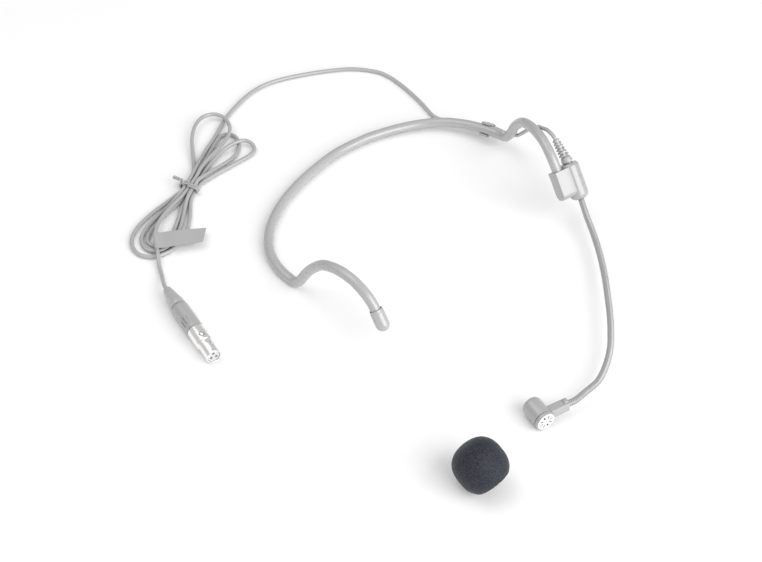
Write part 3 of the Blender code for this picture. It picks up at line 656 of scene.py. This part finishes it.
def make_room():
    half = FLOOR_HALF_SIZE
    corners = [(-half, -half, 0), (half, -half, 0), (half, half, 0), (-half, half, 0)]
    floor = mesh_object("floor", corners, [[0, 1, 2, 3]])
    floor.location.z = -FLOOR_DROP
    mat = bpy.data.materials.new("floor")
    mat.use_nodes = True
    shader = mat.node_tree.nodes["Principled BSDF"]
    shader.inputs["Base Color"].default_value = (*grey(FLOOR_WHITE), 1)
    shader.inputs["Roughness"].default_value = 0.9
    shader.inputs["Specular IOR Level"].default_value = 0.0
    floor.data.materials.append(mat)
    world = bpy.data.worlds.new("studio")
    bpy.context.scene.world = world
    world.use_nodes = True
    sky = world.node_tree.nodes["Background"]
    sky.inputs["Color"].default_value = (1, 1, 1, 1)
    sky.inputs["Strength"].default_value = SKY
    soft_light("overhead", (-0.25, 0.40, 0.95), 1.1, 0.9, OVERHEAD_POWER)
    soft_light("wall", (0.05, -0.87, 0.50), 1.6, 1.6, WALL_POWER)
    bpy.context.scene.view_settings.view_transform = "Standard"


# The cord


def tie_slot(slot, along):
    """A strand's place in the tie: its slot across the bundle, and millimetres along it."""
    across = place(TIE_CENTRE, (0, 0, 1), TIE_ALONG)
    height = UPPER_STRANDS_Z if slot % 2 else LOWER_STRANDS_Z
    return inside(across, SLOT_PITCH * (slot - MIDDLE_SLOT), along, height)


def cord_points():
    """The whole cable, from the clip through the hank's loops to inside the plug."""
    points = [Vector(p) for p in CABLE_ROUTE]
    for slot, loop in HANK_PASSES:
        ends = [tie_slot(slot, along) for along in (3.2, 0.0, -3.2)]
        if (points[-1] - ends[0]).length > (points[-1] - ends[-1]).length:
            ends.reverse()
        points += [*ends, *(Vector(p) for p in loop)]
    return smooth_route(points, 1.1)


def curve_object(name, points, diameter, sides=4):
    data = bpy.data.curves.new(name, "CURVE")
    data.dimensions = "3D"
    data.bevel_depth = diameter / 2 * MM
    data.bevel_resolution = sides
    data.use_fill_caps = True
    spline = data.splines.new("POLY")
    spline.points.add(len(points) - 1)
    for knot, point in zip(spline.points, points):
        knot.co = (*at(point), 1.0)
    spline.use_smooth = True
    obj = bpy.data.objects.new(name, data)
    bpy.context.scene.collection.objects.link(obj)
    return obj


def make_cord():
    route = cord_points()
    cable = curve_object("cable", route, CABLE_D)
    piece(cable, "cable_jacket", "root", nodes=("cable_free", "cable_hank", "cable_tail"))
    return cable, route


def make_tie():
    """Coated wire, twice round the bundle, its ends twisted together beside it."""
    across = place(TIE_CENTRE, (0, 0, 1), TIE_ALONG)
    half_width, half_height, middle = 5.45, 2.25, 2.95
    drift = 2.9  # from its first turn to its last, along the bundle
    steps = 36
    points = []
    for k in range(2 * steps + 1):
        angle = math.radians(90 - 360 * k / steps)
        side = half_width * flattened(math.cos(angle))
        up = middle + half_height * flattened(math.sin(angle))
        points.append(inside(across, side, drift * (k / (2 * steps) - 0.5), up))
    wraps = sweep("tie_wraps", smooth_route(points, 0.5), TIE_D / 2, sides=12)
    piece(wraps, "tie_plastic", "root", nodes=("cable_tie",))

    def twist(along, angle):
        """The radius of two wires laid round each other, a turn to every 5 mm."""
        return 0.80 + 0.28 * math.cos(2 * (angle - 2 * math.pi * along / 5.0))

    tail = [
        (-2.6, 0.2, 5.5), (-4.6, 0.9, 5.9), (-7.0, 1.9, 5.4), (-9.4, 3.1, 4.4), (-11.4, 4.4, 3.4),
    ]
    route = smooth_route([inside(across, *p) for p in tail], 0.25)
    end = sweep("tie_twist", route, twist, sides=16)
    return wraps, piece(end, "tie_plastic", "root")


def make_flag():
    """A film label folded round the cable, its two halves stuck together beside it."""
    matrix = place(FLAG_MIDDLE, FLAG_ALONG)
    wrap = CABLE_D / 2 + 0.18
    gap = 0.17
    top = [(26.0, -0.35), (20.0, 0.1), (14.0, 0.65), (8.0, 0.8), (4.0, 0.6), (2.2, 0.75)]
    turn = arc(wrap, 50, 310, 15)
    bottom = [(2.2, -0.2), (3.2, 0.2)] + [(x, z - gap) for x, z in top[:-2][::-1]]
    path = [*top, *turn, *bottom]
    line = smooth_route([(x, z, 0) for x, z in path], 0.3)
    half, width = FLAG_HALF_FILM, FLAG_HALF_WIDTH
    vertices = []
    for k, point in enumerate(line):
        way = (line[min(k + 1, len(line) - 1)] - line[max(k - 1, 0)]).normalized()
        out = Vector((-way.y, way.x, 0)) * half
        curl = (max(0.0, point.x) / 25) ** 2
        for side, z in ((out, -width), (out, width), (-out, width), (-out, -width)):
            near, far = max(0.0, z / width), max(0.0, -z / width)
            x = point.x + side.x + curl * (1.1 * far - 1.9 * near)
            vertices.append((x, point.y + side.y + 1.4 * curl * near, z))
    faces = [
        [4 * k + j, 4 * k + (j + 1) % 4, 4 * k + 4 + (j + 1) % 4, 4 * k + 4 + j]
        for k in range(len(line) - 1)
        for j in range(4)
    ]
    last = 4 * (len(line) - 1)
    faces += [[0, 1, 2, 3], [last, last + 1, last + 2, last + 3]]
    flag = mesh_object("cable_label", vertices, faces, matrix)
    return piece(flag, "label_film", "root", nodes=("cable_flag",))


# The neckband


def make_neckband():
    end = [HOOK_END, HOOK_END + HOOK_END_DIRECTION * (SOCKET_DEPTH - 1.5)]
    route = smooth_route([*NECKBAND_ROUTE, *end], 1.6)
    sleeve = sweep("neckband_rubber", route, SLEEVE_D / 2, SLEEVE_BORE / 2, sides=32)
    piece(sleeve, "sleeve_rubber", "root", nodes=("neckband_sleeve",))
    make_end_cap(route)
    make_clip(route)


def make_end_cap(route):
    start = Vector(NECKBAND_ROUTE[0])
    matrix = place(start, END_CAP_TIP - start)
    radius, lip = END_CAP_D / 2, END_CAP_LIP_D / 2
    ball = (END_CAP_TIP - start).length
    mouth = SLEEVE_D / 2 + 0.5
    outline = [(0, ball + radius), *((r, ball + z) for r, z in arc(radius, 80, 4, 10))]
    outline += rounded([
        (radius, ball), (radius, -0.1), (radius - 0.12, -0.25, 0.1), (radius - 0.05, -0.4, 0.1),
        (lip, -1.6, 0.4), (mouth, -1.6, 0.15), (mouth, 0.9), (1.3, 0.9), (1.3, 6.0), (0, 6.0),
    ], 0.1)
    cap = lathe("end_cap_rubber", outline, matrix, 56)
    piece(cap, "sleeve_rubber", "root", nodes=("end_cap",))


def make_clip(route):
    """The spring C on the band, with rounded lips and an eye for the cable."""
    k = nearest(route, CLIP_PLACE)
    matrix = place(route[k], route[k + 1] - route[k - 1])
    inner = SLEEVE_D / 2 + 0.4
    outer = inner + CLIP_THICKNESS
    middle = (inner + outer) / 2
    half = CLIP_LENGTH / 2
    first, last = CLIP_OPENS
    outline = arc(outer, first, last, 48)
    outline += arc(CLIP_LIP_R, last - 80, last + 170, 9, arc(middle, last, last, 2)[0])
    outline += arc(inner, last, first, 48)
    outline += arc(CLIP_LIP_R, first - 350, first - 100, 9, arc(middle, first, first, 2)[0])
    shell = prism("cable_clip_plastic", outline, -half, half, matrix, 0.22)
    eye = lathe("eye", rounded(rod(2.1, -half, half), 0.3), shifted(matrix, *CLIP_EYE), 32)
    carve(shell, eye, operation="UNION")
    hole_outline = rod(CABLE_D / 2 + 0.35, -half - 1, half + 1)
    carve(shell, lathe("eye_hole", hole_outline, shifted(matrix, *CLIP_EYE), 32))
    band = lathe("band_way", rod(inner - 0.02, -half - 1, half + 1), matrix, 48)
    carve(shell, band)
    piece(shell, "housing_plastic", "root", nodes=("cable_clip",))


# The boom


def holder_place():
    return place(HOOK_END, HOOK_END_DIRECTION, BLOCK_FACE)


def make_holder():
    matrix = holder_place()
    half = BLOCK_HEIGHT / 2
    corner = 3.0
    side = [(0.0, half), (0.0, -half), (BLOCK_LENGTH - corner, -half)]
    side += arc(corner, -80, 0, 8, (BLOCK_LENGTH - corner, -half + corner))
    side += arc(corner, 0, 80, 8, (BLOCK_LENGTH - corner, half - corner))
    side += [(BLOCK_LENGTH - corner, half)]
    low, high = BLOCK_OFFSET - BLOCK_WIDTH / 2, BLOCK_OFFSET + BLOCK_WIDTH / 2
    lying = matrix @ Matrix.Rotation(math.radians(-90), 4, "Y")
    # the outline's X runs along the hook's end, and its thickness runs across
    body = prism("holder_plastic", side, -high, -low, lying, 0.45)
    r = BARREL_D / 2
    top, bottom = BARREL_TOP, BARREL_BOTTOM
    x, y = BARREL_AXIS
    shape = [(0, bottom), (2.6, bottom, 0.4), (r - 1.5, bottom - 0.5, 1.0)]
    shape += [(r - 0.4, bottom - 1.6, 1.0), (r, bottom - 3.2, 1.2), (r, top + 1.4, 0.5)]
    shape += [(r - 0.8, top, 0.4), (0, top)]
    barrel = lathe("barrel", rounded(shape, 0.5), shifted(matrix, x, y), 72)
    carve(body, barrel, operation="UNION")
    socket_hole = lathe("socket", rod(3.0, -3.0, SOCKET_DEPTH), matrix, 48)
    bore = lathe("bore", rod(2.8, top - 2, bottom - 2.0), shifted(matrix, x, y), 40)
    mouth_outline = rod(GOOSENECK_D / 2 + 0.3, bottom - 4, bottom + 2)
    mouth = lathe("mouth", mouth_outline, shifted(matrix, x, y), 40)
    carve(body, socket_hole, bore, mouth)
    piece(body, "housing_plastic", "boom_holder", nodes=("holder_housing",))


def relief_ends():
    x, y = BARREL_AXIS
    lean_x, lean_y = RELIEF_LEAN
    matrix = holder_place()
    base = inside(matrix, x, y, BARREL_TOP - 0.9)
    tip = inside(matrix, x + lean_x, y + lean_y, BARREL_TOP - RELIEF_LENGTH)
    return base, tip


def make_relief():
    """A skirted rubber tail whose ribs are cut by gaps that face opposite ways in turn."""
    base, tip = relief_ends()
    matrix = place(base, tip - base, BLOCK_FACE)
    length = (tip - base).length
    skirt = RELIEF_SKIRT
    bore = 0.85
    outline = [
        (1.5, length, 0.25), (1.7, skirt + 0.6, 0.3), (2.75, skirt, 0.35), (3.3, 0.0, 0.3),
        (2.2, 0.0), (2.2, -4.0), (bore, -4.0), (bore, length - 2.2), (1.3, length - 2.2),
        (1.3, length),
    ]
    core = lathe("relief_core", rounded(outline, 0.1, closed=True), matrix, 40, ring=True)
    pitch = (length - skirt - 0.4) / RELIEF_RIBS
    slimmest, growth = 2.03, 0.15
    made = []
    for k in range(RELIEF_RIBS):
        top = length - 0.1 - k * pitch
        foot = top - pitch * 0.58
        rib = slimmest + growth * k
        band = [(rib, top), (rib + 0.06, foot), (RELIEF_CORE_R, foot), (RELIEF_CORE_R, top)]
        band = rounded(band, 0.18, closed=True, steps=3)
        first = 90 * (k % 2) + (180 - RIB_TURN) // 2
        for start in (first, first + 180):
            turn = (start, start + RIB_TURN)
            made.append(lathe(f"rib_{k}_{start}", band, matrix, 18, ring=True, turn=turn))
    carve(core, *made, operation="UNION")
    piece(core, "sleeve_rubber", "boom_holder", nodes=("strain_relief",))


def make_lead_in():
    """The cable from the clip over the hook to the strain relief."""
    base, tip = relief_ends()
    way = (tip - base).normalized()
    points = [*LEAD_IN_ROUTE[:-1], (64.3, -38.9, 41.0), (62.5, -43.4, 43.2), tip + way * 2.2,
              tip - way * 1.6]
    lead = sweep("cable_lead", smooth_route(points, 1.0), CABLE_D / 2, sides=20)
    piece(lead, "cable_jacket", None, nodes=("cable_lead_in",))
    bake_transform(lead)


def capsule_point(out):
    """A point on the arm's axis, at this distance from the capsule's side."""
    arm = CAPSULE_DIRECTION.cross(Vector((0, 0, -1)))
    root = CAPSULE_FACE - CAPSULE_DIRECTION * ARM_BEHIND_FACE + Vector((0, 0, ARM_RISE))
    return root + arm * (CAPSULE_D / 2 + out)


def wound(along, angle):
    """The gooseneck's radius: a flat wire wound close, so a fine helical groove."""
    turn = math.cos(2 * math.pi * along / WIRE_PITCH - angle)
    return GOOSENECK_D / 2 - GROOVE_HALF + GROOVE_HALF * flattened(turn)


def make_gooseneck():
    """One wound tube in five stretches: three that ride on bodies and two bends between."""
    matrix = holder_place()
    x, y = BARREL_AXIS
    start = [inside(matrix, x, y, z) for z in (8.0, BARREL_BOTTOM)]
    end = [capsule_point(ARM_LENGTH + out) for out in (5.0, 0.05)]
    route = smooth_route([*start, *GOOSENECK_ROUTE, *end], WIRE_PITCH / 8)
    step = route_length(route) / (len(route) - 1)
    swing, nod = (nearest(route, GOOSENECK_ROUTE[k]) for k in (SWING_AT, NOD_AT))
    swing_half, nod_half = (round(half / step) for half in (SWING_HALF, NOD_HALF))
    cuts = [0, swing - swing_half, swing + swing_half, nod - nod_half, nod + nod_half,
            len(route) - 1]
    stretches = [
        ("gooseneck_upper", ("boom_holder",), ("gooseneck_root",)),
        ("gooseneck_bend_1", ("boom_holder", "boom_middle"), ()),
        ("gooseneck_middle", ("boom_middle",), ("gooseneck_mid",)),
        ("gooseneck_bend_2", ("boom_middle", "boom_tip"), ()),
        ("gooseneck_lower", ("boom_tip",), ("gooseneck_tip",)),
    ]
    for (name, bodies, nodes), first, final in zip(stretches, cuts, cuts[1:]):
        tube = sweep(name, route[first : final + 1], wound, GOOSENECK_BORE / 2, 20, first * step)
        bends = len(bodies) == 2
        piece(tube, "gooseneck_steel", None if bends else bodies[0], nodes=nodes)
        if bends:
            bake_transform(tube)


# The capsule


def make_capsule():
    matrix = place(CAPSULE_FACE, CAPSULE_DIRECTION)
    r, bore = CAPSULE_D / 2, CAPSULE_BORE / 2
    back = -CAPSULE_LENGTH
    outline = rounded([
        (r, SEAM, 0.18), (r, back + 0.2, 2.6), (r - 2.2, back, 1.0), (0, back), (0, back + 1.6),
        (bore - 0.6, back + 1.6), (bore, back + 2.4), (bore, SEAM),
    ], 0.0, closed=True, steps=6)
    shell = lathe("capsule_shell", outline, matrix, 72, ring=True)
    piece(shell, "housing_plastic", "boom_tip", nodes=("capsule_body",))
    rim = r - 0.38
    outline = rounded([
        (r, -0.25, 0.3), (r, SEAM + 0.3, 0.18), (bore, SEAM + 0.3), (bore, -0.9), (rim, -0.9),
        (rim, -0.25, 0.12),
    ], 0.0, closed=True, steps=5)
    ring = lathe("capsule_front_ring", outline, matrix, 72, ring=True)
    piece(ring, "housing_plastic", "boom_tip", nodes=("capsule_ring",))
    make_grille(matrix, rim - 0.06)
    make_arm()


def make_grille(matrix, radius):
    """A white disc with eight short slots set like a flower's petals round a raised middle."""
    outline = rounded([(0, 0.0), (1.2, 0.0, 0.2), (1.6, -0.12, 0.2), (radius, -0.12, 0.15),
                       (radius, -0.62), (0, -0.62)], 0.1)
    disc = lathe("capsule_grille_disc", outline, matrix, 72)
    slots = []
    for k in range(8):
        around = shifted(matrix, turn=22.5 + 45 * k)
        slot = [(1.8, -0.42), (3.7, -0.42), (3.7, 0.42), (1.8, 0.42)]
        slot = rounded(slot, 0.18, closed=True)
        slots.append(prism(f"slot_{k}", slot, -1.5, 1.0, around))
    carve(disc, *slots)
    piece(disc, "grille_plastic", "boom_tip", nodes=("capsule_grille",))


def make_arm():
    """The rectangular arm, hollowed to fit the capsule's side and bored for the gooseneck."""
    out = CAPSULE_DIRECTION.cross(Vector((0, 0, -1)))
    matrix = place(capsule_point(0.3), out)
    x, y = ARM_WIDTH / 2, ARM_HEIGHT / 2
    arm = block("capsule_arm_plastic", (-x, -y, -2.0), (x, y, ARM_LENGTH), matrix, 0.35)
    tab_low, tab_high = (-1.1, y - 1, ARM_LENGTH - 2.6), (1.1, y + 0.75, ARM_LENGTH - 0.3)
    tab = block("tab", tab_low, tab_high, matrix, 0.3)
    carve(arm, tab, operation="UNION")
    low = ARM_LENGTH - 6.0
    hole = lathe("arm_hole", rod(1.8, low, ARM_LENGTH + 1), matrix, 32)
    seat_outline = rod(CAPSULE_D / 2 + 0.06, -CAPSULE_LENGTH - 2, 2.0)
    seat = lathe("arm_seat", seat_outline, place(CAPSULE_FACE, CAPSULE_DIRECTION), 96)
    carve(arm, hole, lathe("arm_way", rod(0.9, -3, ARM_LENGTH), matrix, 20), seat)
    piece(arm, "housing_plastic", "boom_tip", nodes=("capsule_arm",))


# The windscreen


def make_windscreen():
    """A squarish foam ball with a blind bore, its skin roughened by its cells."""
    matrix = place(FOAM_CENTRE, FOAM_MOUTH_DIRECTION)
    half, r, mouth = FOAM_LENGTH / 2, FOAM_D / 2, FOAM_BORE / 2
    power = 0.8  # below 1 for a squarish ball
    steps, turn = 56, 139.2  # of the arc from its closed end to its lip, in degrees
    outline = []
    for k in range(steps + 1):
        angle = math.radians(-90 + turn * k / steps)
        c, s = math.cos(angle), math.sin(angle)
        outline.append((r * abs(c) ** power, half * flattened(s, power)))
    outline[0] = (0, -half)
    lip = outline[-1][1]
    inner = [(mouth + 0.9, lip), (mouth, lip - 0.9), (mouth, lip - FOAM_BORE_DEPTH + 0.6)]
    inner += [(mouth - 0.6, lip - FOAM_BORE_DEPTH), (0, lip - FOAM_BORE_DEPTH)]
    outline += rounded([outline[-1], *inner], 0.8)[1:]
    foam = lathe("foam_ball", outline, matrix, 110)
    foam.data.update()
    for vertex in foam.data.vertices:
        coarse, fine = (noise.noise(vertex.co * scale) for scale in (FOAM_COARSE, FOAM_FINE))
        vertex.co += vertex.normal * (coarse + FOAM_FINE_SHARE * fine) * FOAM_ROUGH
    lowest = min(v.co.z for v in foam.data.vertices)
    foam.data.transform(Matrix.Translation((0, 0, -lowest)))
    piece(foam, "windscreen_foam", "windscreen", nodes=("foam_windscreen",))


# The plug


def on_side(matrix, z, angle):
    """A place z along the plug whose Z points out of its side, at an angle like LATCH_ANGLE."""
    turn = math.radians(angle)
    outward = Vector((-math.cos(turn), math.sin(turn), 0))
    turned = outward.to_track_quat("Z", "Y").to_matrix().to_4x4()
    return matrix @ Matrix.Translation((0, 0, z)) @ turned


def make_plug():
    matrix = place(PLUG_TAIL, PLUG_DIRECTION)
    hole = CABLE_D / 2 + 0.3
    seat_r, seat_z = 2.9, BOOT_LENGTH - 4
    outline = rounded([
        (4.1, BOOT_LENGTH, 0.1), (4.1, 13.9, 1.2), (3.4, 10.6, 2.0), (2.9, 6.6, 2.0),
        (2.2, BOOT_START, 0.5), (hole, BOOT_START, 0.2), (hole, seat_z), (seat_r, seat_z),
        (seat_r, BOOT_LENGTH),
    ], 0.0, closed=True, steps=6)
    boot = lathe("plug_boot_rubber", outline, matrix, 64, ring=True)
    made = [piece(boot, "sleeve_rubber", "root", nodes=("plug_boot",))]
    r, low = COLLAR_D / 2, BOOT_LENGTH + 0.3
    outline = rounded([
        (r - 0.06, BACKSHELL_END, 0.15), (r - 0.06, low + 1.2, 0.8), (r - 0.5, low, 0.3),
        (SHELL_BORE_R, low), (SHELL_BORE_R, BACKSHELL_END),
    ], 0.0, closed=True)
    back = lathe("plug_backshell_plastic", outline, matrix, 72, ring=True)
    carve(back, *grip_slits(matrix, r))
    made.append(piece(back, "housing_plastic", "root", nodes=("plug_backshell",)))
    made.append(make_plug_shell(matrix, r))
    made += make_plug_inside(matrix)
    return made


def grip_slits(matrix, radius):
    """Cutters for three slits near the backshell's front that taper to their ends."""
    slits = []
    middle, stagger = BACKSHELL_END - 5.5, 0.5
    first, apart = 23, 24  # degrees
    for k in range(3):
        side = on_side(matrix, middle - stagger * (k % 2), first + apart * k)
        # here the side's Z points out, so the slit's length has to lie along the plug
        length_way = side.inverted().to_3x3() @ matrix.to_3x3() @ Vector((0, 0, 1))
        turn = math.atan2(length_way.y, length_way.x)
        lying = side @ Matrix.Translation((0, 0, radius)) @ Matrix.Rotation(turn, 4, "Z")
        outline = [(-3.1, 0.0), (-1.0, -0.34), (2.6, -0.4), (3.0, 0.0), (2.6, 0.4), (-1.0, 0.34)]
        slits.append(prism(f"slit_{k}", outline, -0.5, 1.0, lying))
    return slits


def make_plug_shell(matrix, r):
    """Collar and nose in one turned piece, with the latch's window, a keyway and a screw hole."""
    start = BACKSHELL_END + 0.3
    nose = NOSE_D / 2
    # rings of vertices beside the holes, which keep each hole's effect on the shading small
    on_nose = [55.0, 51.7, 48.9]
    on_collar = [LATCH_Z + LATCH_WINDOW_HALF, LATCH_Z - LATCH_WINDOW_HALF]
    in_bore = [*on_collar[::-1], *on_nose[::-1]]
    outline = rounded([
        (nose, NOSE_END, 0.25), *((nose, z) for z in on_nose),
        (nose, COLLAR_END + 0.2, 0.3), (r, COLLAR_END - 0.5, 0.4), *((r, z) for z in on_collar),
        (r, start + 0.2, 0.2), (SHELL_BORE_R, start), *((SHELL_BORE_R, z) for z in in_bore),
        (SHELL_BORE_R, NOSE_END, 0.2),
    ], 0.0, closed=True, steps=5)
    shell = lathe("plug_metal", outline, matrix, 80, ring=True)
    window = lathe("window", rod(1.42, 3.0, 6.0), on_side(matrix, LATCH_Z, LATCH_ANGLE), 32)
    screw_place = on_side(matrix, SCREW_Z, SCREW_ANGLE)
    screw_hole = lathe("screw_hole", rod(1.0, 2.6, 5.0), screw_place, 24)
    key = [(-1.0, -2.6), (1.0, -2.6), (1.0, 2.6), (-1.0, 2.6)]
    keyway = prism("keyway", rounded(key, 0.7, closed=True, steps=4), nose - 0.22, nose + 1.0,
                   on_side(matrix, KEYWAY_Z, KEYWAY_ANGLE))
    carve(shell, window, screw_hole, keyway)
    return piece(shell, "plug_nickel", "root", nodes=("plug_shell",))


def make_plug_inside(matrix):
    """The insert with its three poles, the latch's button and the insert's screw."""
    face = NOSE_END - 0.6
    tail = INSERT_TAIL
    outline = rounded([(0, face), (INSERT_R, face, 0.25), (INSERT_R, tail), (0, tail)], 0.1)
    insert = lathe("plug_insert_plastic", outline, matrix, 56)
    poles = []
    for k, (x, y) in enumerate(arc(CONTACT_RING_R, 90, 330, 3)):
        poles.append(lathe(f"pole_{k}", rod(0.8, 44.0, 58.0), shifted(matrix, x, y), 24))
    carve(insert, *poles)
    made = [piece(insert, "insert_plastic", "root", nodes=("plug_insert",))]
    outline = rounded([
        (0, 5.08), (0.55, 5.06, 0.2), (1.1, 4.75, 0.3), (1.15, 4.2, 0.1), (1.15, 2.9), (0, 2.9),
    ], 0.1)
    button = lathe("latch_button_metal", outline, on_side(matrix, LATCH_Z, LATCH_ANGLE), 36)
    piece(button, "plug_nickel", "latch_button", nodes=("plug_latch",))
    head = rounded([(0, 4.1), (0.6, 4.1, 0.12), (0.72, 3.85, 0.1), (0.7, 3.35), (0, 3.35)], 0.1)
    screw_place = on_side(matrix, SCREW_Z, SCREW_ANGLE)
    screw = lathe("plug_screw", head, screw_place, 28)
    carve(screw, block("driver_slot", (-0.9, -0.1, 3.92), (0.9, 0.1, 4.4), screw_place, 0.0))
    made.append(piece(screw, "plug_nickel", "root", nodes=("plug_insert_screw",)))
    return [*made, button]


def dress_cad_nodes():
    """Materials for the inner CAD pieces that stay as they are."""
    looks = {
        "neckband_core": "spring_steel", "gooseneck_ferrule": "plug_nickel",
        "gooseneck_tip_ferrule": "plug_nickel", "boom_lead_root": "cable_jacket",
        "boom_lead_mid": "cable_jacket", "boom_lead_tip": "cable_jacket",
        "front_felt": "capsule_felt", "mic_element": "spring_steel",
        "element_boot": "sleeve_rubber", "element_board": "circuit_board",
        "plug_cable_clamp": "plug_nickel", "plug_contact_1": "contact_gold",
        "plug_contact_2": "contact_gold", "plug_contact_3": "contact_gold",
    }
    for node, look in looks.items():
        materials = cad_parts[node].data.materials
        materials.clear()
        materials.append(LOOKS[look])


make_camera()
make_room()
cable, cable_route = make_cord()
on_cable = [*make_tie(), make_flag()]
make_neckband()
make_holder()
make_relief()
make_lead_in()
make_gooseneck()
make_capsule()
make_windscreen()
on_cable += make_plug()
on_cable += ["plug_cable_clamp", "plug_contact_1", "plug_contact_2", "plug_contact_3"]
dress_cad_nodes()
